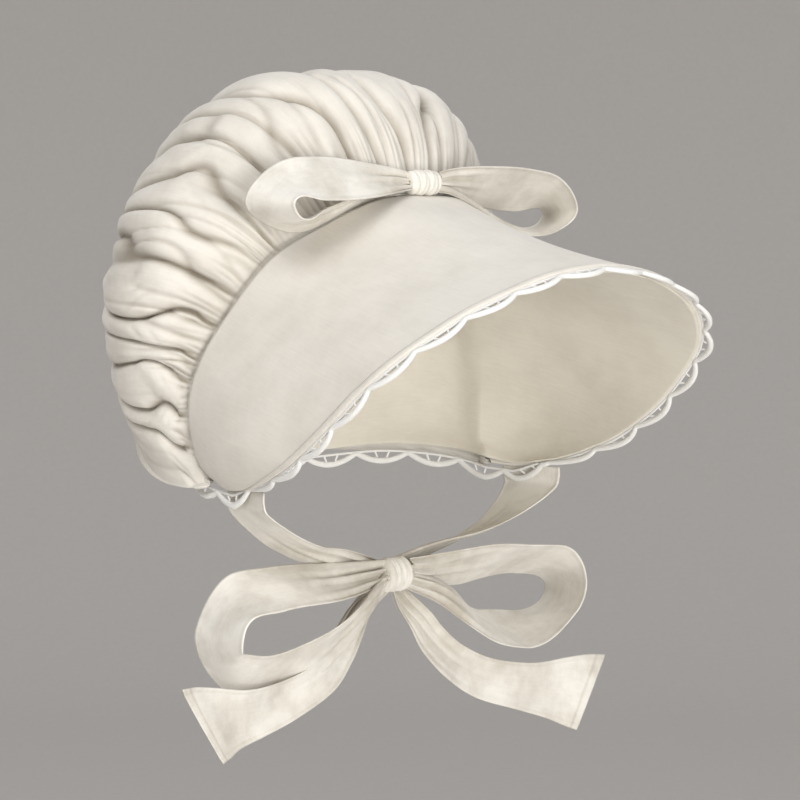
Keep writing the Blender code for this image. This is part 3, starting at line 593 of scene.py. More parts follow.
def woven_material(name, colour, shade, thread, roughness, sheen, bump, mottle):
    """Woven cloth.  Fine ribs run both ways along the UV map, one thread apart; long slubs and soft
    mottling vary the colour; deep folds turn towards the shade colour.  thread and bump, the height of
    the weave, are in metres."""
    existing = bpy.data.materials.get(name)
    if existing:
        return existing
    material = bpy.data.materials.new(name)
    material.use_nodes = True
    tree = material.node_tree
    shader = tree.nodes["Principled BSDF"]
    shader.inputs["Roughness"].default_value = roughness
    shader.inputs["Sheen Weight"].default_value = sheen
    shader.inputs["Sheen Roughness"].default_value = 0.45
    shader.inputs["Specular IOR Level"].default_value = 0.25
    place = node_of(tree, "ShaderNodeTexCoord", (-1500, 0))
    along, inside = place.outputs["UV"], place.outputs["Object"]
    # A wave texture repeats after a twentieth of 2 pi.
    per_thread = 2 * math.pi / (20 * thread)
    sockets = {"Vector": along, "Scale": (per_thread, per_thread, per_thread)}
    threads = node_of(tree, "ShaderNodeMapping", (-1300, 200), sockets)
    ribs = {"Scale": 1.0, "Distortion": 1.2, "Detail": 2.0, "Detail Scale": 0.6}
    ribs["Vector"] = threads.outputs["Vector"]
    warp = node_of(tree, "ShaderNodeTexWave", (-1050, 320), ribs, bands_direction="X")
    weft = node_of(tree, "ShaderNodeTexWave", (-1050, 20), ribs, bands_direction="Y")
    crossing = {0: warp.outputs["Fac"], 1: weft.outputs["Fac"]}
    weave = node_of(tree, "ShaderNodeMath", (-820, 180), crossing, operation="MULTIPLY")
    # Slubs are short across the cloth, 900 to the metre, and long along it, 60 to the metre.
    sockets = {"Vector": along, "Scale": (900.0, 60.0, 1.0)}
    stretched = node_of(tree, "ShaderNodeMapping", (-1300, -250), sockets)
    sockets = {"Vector": stretched.outputs["Vector"], "Scale": 1.0, "Detail": 4.0}
    slub = node_of(tree, "ShaderNodeTexNoise", (-1050, -250), sockets).outputs["Fac"]
    sockets = {"Vector": inside, "Scale": 38.0, "Detail": 6.0, "Roughness": 0.62}
    soft = node_of(tree, "ShaderNodeTexNoise", (-1050, -520), sockets).outputs["Fac"]
    sockets = {"Vector": inside, "Scale": 160.0, "Detail": 5.0}
    rumple = node_of(tree, "ShaderNodeTexNoise", (-1050, -800), sockets).outputs["Fac"]
    sockets = {"Value": soft, "From Min": 0.40, "From Max": 0.72, "To Max": mottle}
    spread = node_of(tree, "ShaderNodeMapRange", (-820, -520), sockets)
    # Painted shade in the creases and the stitched lines come from the point attribute; added to the
    # mottling, they mix the cloth towards its shade colour.
    shade_and_stitches = node_of(tree, "ShaderNodeAttribute", (-820, -760), attribute_name="shade_and_stitches")
    sockets = {0: spread.outputs["Result"], 1: shade_and_stitches.outputs["Fac"]}
    dark = node_of(tree, "ShaderNodeMath", (-600, -620), sockets, operation="ADD", use_clamp=True)
    sockets = {"Factor": dark.outputs["Value"], "A": (*colour, 1.0), "B": (*shade, 1.0)}
    tint = node_of(tree, "ShaderNodeMix", (-380, 60), sockets, data_type="RGBA")
    sockets = {"Value": slub, "To Min": 0.93, "To Max": 1.05}
    thready = node_of(tree, "ShaderNodeMapRange", (-600, -200), sockets)
    sockets = {"Factor": 1.0, "A": tint.outputs["Result"], "B": thready.outputs["Result"]}
    streak = node_of(tree, "ShaderNodeMix", (-180, 60), sockets, data_type="RGBA", blend_type="MULTIPLY")
    sockets = {0: weave.outputs["Value"], 1: 0.6, 2: slub}
    heights = node_of(tree, "ShaderNodeMath", (-600, 260), sockets, operation="MULTIPLY_ADD")
    sockets = {"Height": rumple, "Strength": 0.5, "Distance": bump * 4}
    crumple = node_of(tree, "ShaderNodeBump", (-380, 420), sockets)
    sockets = {"Height": heights.outputs["Value"], "Strength": 0.6, "Distance": bump}
    sockets["Normal"] = crumple.outputs["Normal"]
    fine = node_of(tree, "ShaderNodeBump", (-180, 320), sockets)
    tree.links.new(streak.outputs["Result"], shader.inputs["Base Color"])
    tree.links.new(fine.outputs["Normal"], shader.inputs["Normal"])
    return material


def materials_of(colours):
    """The five finishes, each made once, with the colours as set."""
    made = {}
    for kind, (name, setting, shade, *rest) in FINISHES.items():
        colour = np.array(getattr(colours, setting))
        made[kind] = woven_material(name, colour, colour * shade, *rest)
    return made


def settings_of(context):
    """The bonnet's sizes, the trim's sizes and the finishes, as set on the scene."""
    scene = context.scene
    return scene.bonnet_sizes, scene.bonnet_trim, materials_of(scene.bonnet_colours)


def brim_surface(size, inset, shares, rows):
    """The brim at shares of its edges' lengths, moved inward by inset: straight lines from the seam to
    the front edge, swollen by a half sine along them."""
    seam_line = mirrored(edge_points(size, SEAM_ROWS))
    spots = length_positions(seam_line, shares)
    seam = through_points(seam_line, spots)
    swell = np.interp(spots, np.arange(len(seam_line)), mirrored_column(SEAM_ROWS, 3))
    front = spaced(mirrored(edge_points(size, FRONT_ROWS)), shares)
    share = np.linspace(0.0, 1.0, rows)[:, None, None]
    grid = seam[None] * (1 - share) + front[None] * share
    normal = normals_of(grid, False)
    bulge = size.brim_bulge * np.sin(math.pi * share) * swell[None, :, None]
    inset = np.broadcast_to(inset, (rows,))[:, None, None]
    return grid + normal * (bulge - inset)


def crown_surface(size, front_steps, back_steps, columns):
    """The crown before its folds sink.  From the gathered edge each point goes back by the cosine of a
    quarter turn and out by a power of its sine, to the fullest line, and from there it follows a quarter
    of a superellipse to the middle of the back."""
    # Puffs along the seam are 0.7 to 1.3 times as wide as their mean.
    number = np.arange(size.seam_puffs)
    seam_wide = 1 + 0.30 * np.sin(2.3 * number + 0.7) * np.cos(0.9 * number)
    seam_edges = np.concatenate([[0.0], np.cumsum(seam_wide)]) / seam_wide.sum()
    arch_phase = np.arange(size.seam_puffs * columns) / columns
    arch_shares = np.interp(arch_phase, np.arange(size.seam_puffs + 1), seam_edges)
    neck_phase = np.arange(size.neck_puffs * columns) / columns
    neck_shares = neck_phase / size.neck_puffs
    phase = np.concatenate([arch_phase, neck_phase + size.seam_puffs])
    on_neck = np.repeat([0.0, 1.0], [len(arch_phase), len(neck_phase)])
    seam_line = mirrored(edge_points(size, SEAM_ROWS))
    neck_line = mirrored_neck(edge_points(size, NECK_ROWS))
    places = length_positions(seam_line, arch_shares)
    neck_places = length_positions(neck_line, neck_shares)
    edge = np.vstack([through_points(seam_line, places), through_points(neck_line, neck_places)])
    girth = girth_points(size)
    last = len(SEAM_ROWS)
    arch_girth, neck_girth = mirrored(girth[:last]), mirrored_neck(girth[last - 1 :])
    full = np.vstack([through_points(arch_girth, places), through_points(neck_girth, neck_places)])
    groove = np.interp(places, np.arange(len(seam_line)), mirrored_column(SEAM_ROWS, 4))
    groove = groove * size.fold_depth
    arch_round = mirrored_column(GIRTH_ROWS[:last], 3)
    roundness = np.interp(places, np.arange(len(arch_round)), arch_round)
    roundness = np.concatenate([roundness, np.full(len(neck_phase), 2.0)])[None, :]
    # Level directions away from a point a fifth of the way back.
    level = edge - np.array([0.0, size.crown_back / 5, 0.0])
    level[:, 2] = 0
    level = unit(level)
    many = len(arch_phase)
    behind = np.array([0.0, 1.0, 0.0])
    under = brim_surface(size, size.brim_wall + 3 * size.clearance, np.append(arch_shares, 1.0), 3)
    forward = unit(under[1] - under[0])[:-1]
    run = np.minimum(phase - size.seam_puffs, size.seam_puffs + size.neck_puffs - phase)
    step_back = CROWN_STEP * np.exp(-np.maximum(0, run) * 2)[:, None]
    out = edge + level * (CROWN_GAP + 3 * size.clearance) + behind * step_back
    start = out + np.array([0.0, 0.0, CROWN_TUCK])
    # At the brim's corners the edge stands behind the brim, and from one puff on it is tucked under it.
    corner = np.minimum(arch_phase, size.seam_puffs - arch_phase)
    tuck = np.interp(corner, [0, 1], [-CROWN_TUCK, CROWN_TUCK])[:, None]
    start[:many] = under[0][:-1] + forward * tuck
    out[:many] = under[0][:-1] + behind * (2 * size.clearance + size.brim_wall + groove[:, None])
    out[:many, 2] += 0.7 * groove
    out[:many] += behind * np.maximum(0, -tuck)
    # The power makes the curve pass where a superellipse of this roundness has its middle.
    angle = front_steps[:, None] * math.pi / 2
    power = -2 / roundness * np.log2(1 - 0.5 ** (roundness / 2))
    spread = np.sin(angle) ** power
    front = out + (full - out) * spread[..., None]
    front[..., 1] = full[:, 1] + (out - full)[:, 1] * np.cos(angle)
    centre = np.array([0.0, size.crown_back, -size.crown_back_drop])
    angle = back_steps[1:, None] * math.pi / 2
    shrink = np.cos(angle) ** (2 / BACK_POWER)
    rear = centre + (full - centre) * shrink[..., None]
    rear[..., 1] = full[:, 1] + (centre - full)[:, 1] * np.sin(angle) ** (2 / BACK_POWER)
    grid = np.concatenate([start[None], front, rear], axis=0)
    steps = np.concatenate([[FOLD_ROWS[0][0]], front_steps, 1 + back_steps[1:]])
    return grid, steps, phase, on_neck, centre


def crease(phase, sharpness):
    """A row of creases at whole phases with round cloth between them: 1 - |sin|^sharpness."""
    return 1 - np.abs(np.sin(math.pi * phase)) ** sharpness


def near_crease(phase, cycle, width):
    """The number of the nearest whole phase, and how close it is: a bell curve of the distance."""
    number = np.round(phase)
    return number % cycle, np.exp(-(((phase - number) / width) ** 2))


def fold_field(size, steps, phase, on_neck):
    """Depth of the gathers in units of the fold_depth setting, and how much painted shade each place gets,
    darkest in the creases.  Deep creases lie at whole phases, each with its own depth and length, and
    snake sideways away from the seam.  Pleats between them and fine gathers at the seam die out sooner.
    Slow swells and slanting ripples make the puffs uneven."""
    many = size.seam_puffs + size.neck_puffs
    t, p = steps[:, None], phase[None, :]
    turn = 2 * math.pi * p / many
    away = smooth_step(t, 0.05, 1.0)
    drift = 0.34 * np.sin(5 * turn + 1.1 + 2.2 * t) + 0.24 * np.sin(11 * turn - 3.1 * t + 0.5)
    drift = drift + 0.10 * np.sin(23 * turn + 5 * t)
    moved = p + away * drift
    number, groove = near_crease(moved, many, 0.085)
    draw = scatter(number, 3.0)
    ends = 1 - 0.8 * smooth_step(t, 0.5 + 0.8 * draw, 1.0 + 1.0 * draw)
    starts = 0.3 + 0.7 * smooth_step(t, 0.1, 0.6)
    kind = scatter(number, 4.0)
    length = np.where(kind < 0.3, ends, np.where(kind < 0.5, starts, 1.0))
    deep = (0.60 * crease(moved, 0.8) + 0.55 * groove) * (0.55 + 0.75 * scatter(number, 1.0)) * length
    second = 2 * p + 0.5 * np.sin(7 * turn + 2.5 * t) + 0.5 * away * np.sin(17 * turn + 1.0 + 2 * t)
    number, narrow = near_crease(second, 2 * many, 0.14)
    draw = scatter(number, 6.0)
    pleats = (0.5 * narrow + 0.35 * crease(second, 0.9)) * scatter(number, 5.0)
    pleats = pleats * (1 - smooth_step(t, 0.25 + 0.8 * draw, 0.6 + 1.1 * draw))
    third = 5 * p + 0.6 * np.sin(13 * turn + 3.0 * t) + 0.5 * np.sin(31 * turn)
    number, fine = near_crease(third, 5 * many, 0.22)
    draw = scatter(number, 8.0)
    gathers = fine * (0.3 + 0.7 * scatter(number, 7.0))
    gathers = gathers * (1 - smooth_step(t, 0.06 + 0.3 * draw, 0.2 + 0.45 * draw))
    swell = 0.16 * np.sin(3 * turn + 0.4) + 0.14 * np.sin(7 * turn + 2.1 + 0.8 * t)
    slant = crease(1.4 * p + 2.3 * t + 0.8 * np.sin(4 * t + 9 * turn), 1.1)
    other = crease(0.9 * p - 1.9 * t + 0.9 * np.sin(3 * t - 7 * turn), 1.1)
    mask = smooth_step(np.sin(6 * turn + 5 * t) * np.sin(13 * turn - 3 * t + 1.0), -0.1, 0.7)
    ripple = 0.13 * slant * mask + 0.12 * other * (1 - mask)
    field = deep + 0.42 * pleats + 0.26 * gathers + away * (0.12 + swell + ripple)
    # Painted shade: darkest at the bottoms of deep creases, in the pleats and in the fine gathers.
    dark = 0.75 * groove * deep + 0.5 * narrow * pleats + 0.45 * gathers
    rows = np.array(FOLD_ROWS)
    fade = np.interp(steps, rows[:, 0], rows[:, 1])[:, None]
    corner = np.minimum(np.minimum(phase, many - phase), np.abs(phase - size.seam_puffs))
    shallow = np.interp(corner, [0.0, 1.0], [0.25, 1.0])[None, :] * (1 - 0.6 * on_neck[None, :])
    return field * fade * shallow, np.clip(dark * np.minimum(1, 2 * fade) * shallow, 0, 1)


class BONNET_OT_crown(bpy.types.Operator):
    """Builds the gathered crown"""

    bl_idname = "bonnet.crown"
    bl_label = "Gathered crown"

    def execute(self, context):
        """Sinks the folds into the crown's surface along its inward normals."""
        size, _, cloth = settings_of(context)
        front_steps = np.linspace(0.0, 1.0, 52) ** 1.25
        back_steps = np.linspace(0.0, 0.985, 46)
        grid, steps, phase, on_neck, centre = crown_surface(size, front_steps, back_steps, 24)
        inward = normals_of(grid, True)
        early = np.clip(steps / 0.25, 0, 1)[:, None, None]
        inward = unit(inward * early + np.array([0.0, 1.0, 0.0]) * (1 - early))
        field, dark = fold_field(size, steps, phase, on_neck)
        held = 1 - on_neck[None, :] * (1 - early[:, :, 0])
        grid = grid + inward * (size.fold_depth * field * held)[:, :, None]
        # The painted shade of the creases goes into the mesh's point attribute.
        crown = cloth_mesh("gathered_crown", grid, closed=True, pole=centre, shade_and_stitches=dark, flip=True)
        dress(crown, cloth["crown"], ["crown"])
        return {"FINISHED"}


class BONNET_OT_brim(bpy.types.Operator):
    """Builds the stiff brim and the binding on its front edge"""

    bl_idname = "bonnet.brim"
    bl_label = "Brim"

    def execute(self, context):
        """The binding's section is a half round of the brim's wall with a flat leg on each side."""
        size, _, cloth = settings_of(context)
        shares = np.linspace(0.0, 1.0, 281)
        grid = brim_surface(size, 0.0, shares, 81)
        brim = cloth_mesh("brim_shell", grid)
        add_wall(brim, size.brim_wall, -1.0)
        dress(brim, cloth["brim"], ["brim"])
        ahead = unit(grid[-1] - grid[-3])
        outward = normals_of(grid[-3:], False)[-1]
        half = size.brim_wall / 2
        bend = np.linspace(math.pi / 2, -math.pi / 2, 13)
        bulk, pinch = half + 0.0005, 0.0003
        leg = np.array([-0.0030, -0.0015])
        reach = np.concatenate([leg, np.cos(bend) * bulk, leg[::-1]])
        lift = np.concatenate([[bulk - pinch, bulk], np.sin(bend) * bulk, [-bulk, -bulk + pinch]])
        middle = grid[-1] - outward * half - ahead * bulk * 0.6
        strip = middle[None] + ahead[None] * reach[:, None, None] + outward[None] * lift[:, None, None]
        binding = cloth_mesh("brim_binding", strip)
        add_wall(binding, BINDING_WALL, -1.0)
        dress(binding, cloth["brim"], [])
        return {"FINISHED"}


class BONNET_OT_lining(bpy.types.Operator):
    """Builds the lining under the brim and over the head"""

    bl_idname = "bonnet.lining"
    bl_label = "Lining"

    def execute(self, context):
        """Under the brim it is the brim's own surface moved inward.  Behind the seam, arches scaled from
        the seam's own shape to a half ellipse run back to the nape."""
        size, _, cloth = settings_of(context)
        rows = 70
        share = np.linspace(0.0, 1.0, rows)
        inset = size.brim_wall + 1.5 * size.clearance + LINING_STEP * (1 - share) ** 3
        front = brim_surface(size, inset, np.linspace(0.0, 1.0, 221), rows)
        seam = front[0]
        steps = np.linspace(0.0, 0.97, 60)[1:]
        half = edge_points(size, NECK_ROWS)
        fade = (1 - steps[:, None]) ** 3
        neck = spaced(half, steps) + (seam[-1] - half[0]) * fade
        back, rise = np.array(RIDGE_ROWS).T
        line = np.stack([0 * back, back * size.cap_back, rise * size.neck_drop], axis=1)
        middle = len(seam) // 2
        ridge = spaced(line, steps) + (seam[middle] - line[0]) * fade
        turn = np.linspace(-1.0, 1.0, len(seam)) * math.pi / 2
        flat = -seam[:, 1] + 1j * seam[:, 2]
        seam_share = (flat - flat[-1]) / (flat[middle] - flat[-1])
        blend = np.minimum(1.0, 1.5 * steps)[:, None]
        out = (seam[:, 0] / seam[-1, 0])[None] * (1 - blend) + np.sin(turn)[None] * blend
        rise = seam_share[None] * (1 - blend) + np.cos(turn)[None] * blend
        base = (-neck[:, 1] + 1j * neck[:, 2])[:, None]
        tall = (-ridge[:, 1] + 1j * ridge[:, 2])[:, None] - base
        hood = base + rise * tall
        hood = np.stack([out * neck[:, :1], -hood.real, hood.imag], axis=-1)
        grid = np.concatenate([hood[::-1], front], axis=0)
        lining = cloth_mesh("lining_cloth", grid)
        add_wall(lining, LINING_WALL, -1.0)
        dress(lining, cloth["lining"], ["lining"])
        return {"FINISHED"}


def lace_edge(size):
    """Points round the opening, and the way that the lace stands at each: ahead in front, else down."""
    grid = brim_surface(size, size.brim_wall / 2, np.linspace(0.0, 1.0, 97), 3)
    front = grid[-1]
    ahead = unit(grid[-1] - grid[0])
    foot = grid[1:2, -1]
    neck = spaced(mirrored_neck(edge_points(size, NECK_ROWS)), np.linspace(0.0, 1.0, 65))
    down = np.array([0.0, 0.0, -1.0])
    flip = np.array([-1.0, 1.0, 1.0])
    low = down * NECK_LACE_DROP
    points = np.vstack([front, foot + low, neck[1:-1] + low, foot * flip + low])
    corner = unit(down[None] + 0.3 * ahead[-1:])
    facing = np.vstack([ahead, corner, np.tile(down, (len(neck) - 2, 1)), corner * flip])
    return np.vstack([points, points[:1]]), np.vstack([facing, facing[:1]])


def tube_rings(line, side, wide, thick, sides, closed):
    """Rings of an elliptical cord along line: the ellipse stands across the line, wide along the lace
    and thick through it.  Shape of line: cords, places, 3."""
    if closed:
        along = unit(np.roll(line, -1, axis=1) - np.roll(line, 1, axis=1))
    else:
        along = unit(np.gradient(line, axis=1))
    through = unit(np.cross(along, side))
    level = np.cross(through, along)
    turn = np.linspace(0, 2 * math.pi, sides, endpoint=False)
    wide = np.broadcast_to(wide, line.shape[:2])[..., None, None]
    thick = np.broadcast_to(thick, line.shape[:2])[..., None, None]
    circle = level[..., None, :] * np.cos(turn)[:, None] * wide
    circle = circle + through[..., None, :] * np.sin(turn)[:, None] * thick
    return line[..., None, :] + circle


def bars_mesh(name, bars):
    """One mesh of many short cords.  Neighbouring rings of each cord are joined by quads, and its ends
    stay open at the header and the braid.  Shape of bars: cords, rings, sides, 3."""
    cords, rings, sides, _ = bars.shape
    cord, ring, side = np.meshgrid(np.arange(cords), np.arange(rings - 1), np.arange(sides), indexing="ij")
    low = (cord * rings + ring) * sides
    beside = (side + 1) % sides
    faces = np.stack([low + beside, low + sides + beside, low + sides + side, low + side], axis=-1)
    mesh = bpy.data.meshes.new(name)
    mesh.from_pydata(bars.reshape(-1, 3).tolist(), [], faces.reshape(-1, 4).tolist())
    mesh.shade_smooth()
    return add_object(name, mesh)


class BONNET_OT_lace(bpy.types.Operator):
    """Builds the lace round the opening"""

    bl_idname = "bonnet.lace"
    bl_label = "Lace edging"

    def execute(self, context):
        """The header is a cord along the edge.  The braid rises from it in arches, a power of a sine,
        and two bars cross each arch."""
        size, trim, cloth = settings_of(context)
        points, facing = lace_edge(size)
        run = run_along(points)

        def at_share(share):
            """Edge point and standing direction at a share of the way round."""
            spot = (share % 1.0) * run[-1]
            base = np.stack([np.interp(spot, run, points[:, k]) for k in range(3)], axis=-1)
            stand = np.stack([np.interp(spot, run, facing[:, k]) for k in range(3)], axis=-1)
            return base, unit(stand)

        count = trim.scallops
        room = trim.lace_depth - trim.lace_header - trim.lace_braid
        share = np.arange(count * SCALLOP_PLACES) / (count * SCALLOP_PLACES)
        base, stand = at_share(share)
        line = base + stand * (trim.lace_header / 2 + size.clearance)
        half = trim.lace_header / 2
        header = tube_rings(line[None], stand[None], half, half * 0.9, 8, True)[0]
        place = (share * count) % 1.0
        arch = np.sin(math.pi * np.clip(place, 0.03, 0.97)) ** ARCH_POWER
        uneven = 1 + 0.10 * (scatter(np.floor(share * count), 7.0) - 0.5)
        rise = room + trim.lace_braid / 2 + trim.lace_header * 0.4
        height = trim.lace_header * 0.6 + rise * arch * uneven
        line = base + stand * (height + size.clearance)[:, None]
        wide = trim.lace_braid / 2 * (0.82 + 0.18 * arch)
        braid = tube_rings(line[None], stand[None], wide[None], wide[None] * 0.75, 8, True)[0]
        bar_share = (np.arange(count)[:, None] + np.array(BAR_FEET)[None]).ravel() / count
        foot, stand = at_share(bar_share)
        top_share = bar_share + np.tile([BAR_LEAN, -BAR_LEAN], count) / count
        tip, tip_stand = at_share(top_share)
        bar_arch = np.sin(math.pi * ((top_share * count) % 1.0)) ** ARCH_POWER
        tip = tip + tip_stand * (trim.lace_header + room * bar_arch + size.clearance)[:, None]
        foot = foot + stand * (trim.lace_header * 0.5 + size.clearance)
        part = np.linspace(0, 1, 6)[None, :, None]
        lines = foot[:, None] * (1 - part) + tip[:, None] * part
        sideways = np.cross(unit(tip - foot), np.cross(stand, unit(tip - foot)) + 1e-6)
        sideways = np.broadcast_to(sideways[:, None], lines.shape)
        bars = tube_rings(lines, sideways, BAR_HALF_WIDE, BAR_HALF_THICK, 6, False)
        pieces = (
            cloth_mesh("lace_header", header, closed=True, ring=True, flip=True),
            cloth_mesh("lace_braid", braid, closed=True, ring=True, flip=True),
            bars_mesh("lace_bars", bars),
        )
        for piece, nodes in zip(pieces, (["lace_edging"], [], [])):
            dress(piece, cloth["lace"], nodes)
        return {"FINISHED"}


def ribbon_grid(line, across, width, squeeze, cup, waves, across_count=33):
    """A ribbon along a line.  Its width runs along across; cup hollows it as 1 - s^2; pleats, a sine
    across the width, grow where it is squeezed; waves lift and lower it slowly along its length.  Beside
    the grid it returns painted shade for the pleats' hollows and the squeezed parts, and darker stitched
    selvedges."""
    s = np.linspace(-1.0, 1.0, across_count)
    along = unit(np.gradient(line, axis=0))
    face = unit(np.cross(along, across))
    run = run_along(line)[:, None]
    bend = (1 - s**2)[None] * cup[:, None]
    pleat = np.cos(math.pi * 3.0 * s + 0.6)[None] + 0.5 * np.cos(math.pi * 5.0 * s + 2.0)[None]
    pleat = pleat * (squeeze * 0.040 * width)[:, None] * (1 - 0.4 * s**4)[None]
    slow = np.sin(run * waves[0] + 1.3 * s[None] + waves[2]) * waves[1]
    slow = slow + np.sin(run * waves[0] * 2.3 - 2.0 * s[None]) * waves[1] * 0.4
    height = bend + pleat + slow
    edge = 0.0004 * smooth_step(np.abs(s), SELVEDGE, 0.95)[None]
    grid = line[:, None] + across[:, None] * s[None, :, None] + face[:, None] * (height + edge)[..., None]
    # Painted shade in the hollows of the pleats and where the ribbon is gathered in; the stitched selvedge
    # lines are added next.
    shade_and_stitches = np.clip(-pleat / (0.06 * width + 1e-9), 0, 1) * 0.6 + 0.30 * squeeze[:, None]
    shade_and_stitches = shade_and_stitches + STITCH_SHADE * np.exp(-(((np.abs(s) - SELVEDGE) / 0.022) ** 2))[None]
    return grid, shade_and_stitches


def finish_ribbon(name, grid, shade_and_stitches, material, node):
    """Makes a ribbon's mesh, gives it its thickness and dresses it."""
    piece = cloth_mesh(name, grid, shade_and_stitches=np.clip(shade_and_stitches, 0, 1))
    add_wall(piece, RIBBON_WALL, 0.0)
    dress(piece, material, [node])


def loop_ribbon(rows, lean_rows, knot, reach, height, width, side, longer, lift):
    """One loop of a bow: a table's line in the plane of the bow.  Its width follows the lean table and
    turns upright where it is gathered at the knot, so that its two edges part and leave a hole."""
    share = np.linspace(0, 1, 181)
    curve = table_curve(rows, (reach, height, height, 0.0, 0.0), share)
    out = curve[:, 0] * reach + curve[:, 0] ** 2 * longer
    rise = curve[:, 1] * height + lift * smooth_step(curve[:, 0], 0.1, 0.8)
    line = knot + np.stack([side * out, -curve[:, 2] * height, rise], axis=1)
    leans = np.array(lean_rows, float)
    soft = smooth_step(share[:, None], leans[None, :-1, 0], leans[None, 1:, 0])
    way = leans[0, 1:] + soft @ np.diff(leans[:, 1:], axis=0)
    upward = np.where(way[:, 1:2] < 0, -1.0, 1.0)
    squeezed = unit(np.concatenate([0 * upward, 0 * upward + 0.2, upward], axis=1))
    spread = unit(np.stack([way[:, 2], way[:, 0], way[:, 1]], axis=1))
    across = unit(spread + (squeezed - spread) * curve[:, 4:5]) * [side, -1.0, 1.0]
    across = across * curve[:, 3:4] * width / 2
    cup = (1 - curve[:, 3]) * width * 0.08 * side
    squeeze = smooth_step(1 - curve[:, 3], 0.0, 0.7)
    return ribbon_grid(line, across, width, squeeze, cup, (60.0, 0.0006, 0.7 * side))


def knot_grid(centre, half_size, slant, wraps):
    """A wrapped knot: an elliptical barrel whose radius dips at each wrap's edge, the wraps slanting
    round it, closed by rounded ends.  Painted shade darkens the grooves between the wraps."""
    x = np.linspace(-1, 1, 91)[:, None]
    turn = np.linspace(0, 2 * math.pi, 96, endpoint=False)[None]
    ends = (1 - np.abs(x) ** 7) ** 0.5 * 0.42 + 0.58
    phase = (x + slant * np.sin(turn + 0.6)) * wraps / 2
    groove = crease(phase, 0.5) * 0.16
    fine = 0.02 * np.sin(phase * 14.0 + 3 * turn)
    radius = ends * (1.04 - groove + fine)
    grid = np.stack(
        [np.broadcast_to(x * half_size[0], radius.shape), np.cos(turn) * half_size[1] * radius,
         np.sin(turn) * half_size[2] * radius], axis=-1,
    )
    rim, tip = np.array([[1.0, 0.5, 0.5]]), np.array([[0.9, 0.01, 0.01]])
    first, last = grid[:1], grid[-1:]
    grid = np.concatenate([first * tip, first * rim, grid, last * rim, last * tip], axis=0)
    # Painted shade in the grooves between the wraps.
    shade_and_stitches = np.clip(crease(phase, 0.5) - 0.4, 0, 1) * 0.9
    return grid + centre, np.pad(shade_and_stitches, ((2, 2), (0, 0)), "edge")


def build_knot(name, centre, half_size, slant, wraps, material, node):
    """Makes a knot's mesh and dresses it."""
    grid, shade_and_stitches = knot_grid(centre, half_size, slant, wraps)
    pole = centre + np.array([half_size[0] * 0.9, 0.0, 0.0])
    piece = cloth_mesh(name, grid, closed=True, pole=pole, shade_and_stitches=shade_and_stitches, flip=True)
    dress(piece, material, [node])


class BONNET_OT_top_bow(bpy.types.Operator):
    """Builds the bow above the brim"""

    bl_idname = "bonnet.top_bow"
    bl_label = "Top bow"

    def execute(self, context):
        """Two loops and the knot that holds them."""
        _, trim, cloth = settings_of(context)
        knot = np.array([0.0, trim.top_knot[0], trim.top_knot[1]]) * FORWARD_AND_DOWN
        build_knot("top_knot", knot, TOP_KNOT_HALF, 0.05, 3, cloth["ribbon"], "top_bow_knot")
        for side, label, leans, lift in TOP_HALVES:
            grid, shade_and_stitches = loop_ribbon(
                TOP_LOOP_ROWS, leans, knot, *trim.top_loop, trim.top_width, side, 0.0, lift
            )
            name, node = "top_loop_" + label, "top_bow_loop_" + label
            finish_ribbon(name, grid, shade_and_stitches, cloth["ribbon"], node)
        return {"FINISHED"}


class BONNET_OT_chin_bow(bpy.types.Operator):
    """Builds the bow under the chin"""

    bl_idname = "bonnet.chin_bow"
    bl_label = "Chin bow"

    def execute(self, context):
        """Two loops, two tails and the knot that holds them."""
        _, trim, cloth = settings_of(context)
        knot = np.array([0.0, trim.chin_knot[0], trim.chin_knot[1]]) * FORWARD_AND_DOWN
        build_knot("chin_knot", knot, CHIN_KNOT_HALF, 0.16, 4, cloth["ribbon"], "chin_bow_knot")
        reach, height, left_longer = trim.chin_loop
        halves = zip(CHIN_HALVES, (RIGHT_LOOP_LONGER, left_longer), trim.tail_lifts)
        for (side, label, leans, lift, share, aside), longer, tail_lift in halves:
            grid, shade_and_stitches = loop_ribbon(
                CHIN_LOOP_ROWS, leans, knot, reach, height * share, trim.chin_width, side, longer, lift
            )
            name, node = "chin_loop_" + label, "chin_bow_loop_" + label
            finish_ribbon(name, grid, shade_and_stitches, cloth["ribbon"], node)
            grid, shade_and_stitches = self.tail(trim, knot, side, tail_lift, aside)
            name, node = "chin_tail_" + label, "chin_bow_tail_" + label
            finish_ribbon(name, grid, shade_and_stitches, cloth["ribbon"], node)
        return {"FINISHED"}

    def tail(self, trim, knot, side, lift, aside):
        """A tail's line runs down and out from the knot while its width turns towards upright."""
        share = np.linspace(0, 1, 161)
        curve = table_curve(TAIL_ROWS, [trim.tail_reach] * 3 + [0.0, 0.0], share)
        line = curve[:, :3] * trim.tail_reach * FORWARD_AND_DOWN * [side, 1.0, 1.0] + knot
        line[:, 2] += lift * np.interp(curve[:, 0], [0.2, 1.0], [0.0, 1.0])
        line[:, 0] += aside * np.sin(math.pi * share)
        turn = np.radians(curve[:, 3])
        across = np.stack([-side * np.cos(turn), turn * 0, -np.sin(turn)], axis=1)
        across = across * (curve[:, 4] * trim.chin_width / 2)[:, None]
        cup = np.maximum(0, 1 - curve[:, 4]) * trim.chin_width * 0.15 * side
        squeeze = smooth_step(1 - curve[:, 4], 0.35, 0.85)
        grid, shade_and_stitches = ribbon_grid(line, across, trim.chin_width, squeeze, cup, (48.0, 0.0007, side))
        hem = np.exp(-(((share - HEM) / 0.005) ** 2))
        return grid, shade_and_stitches + STITCH_SHADE * hem[:, None]


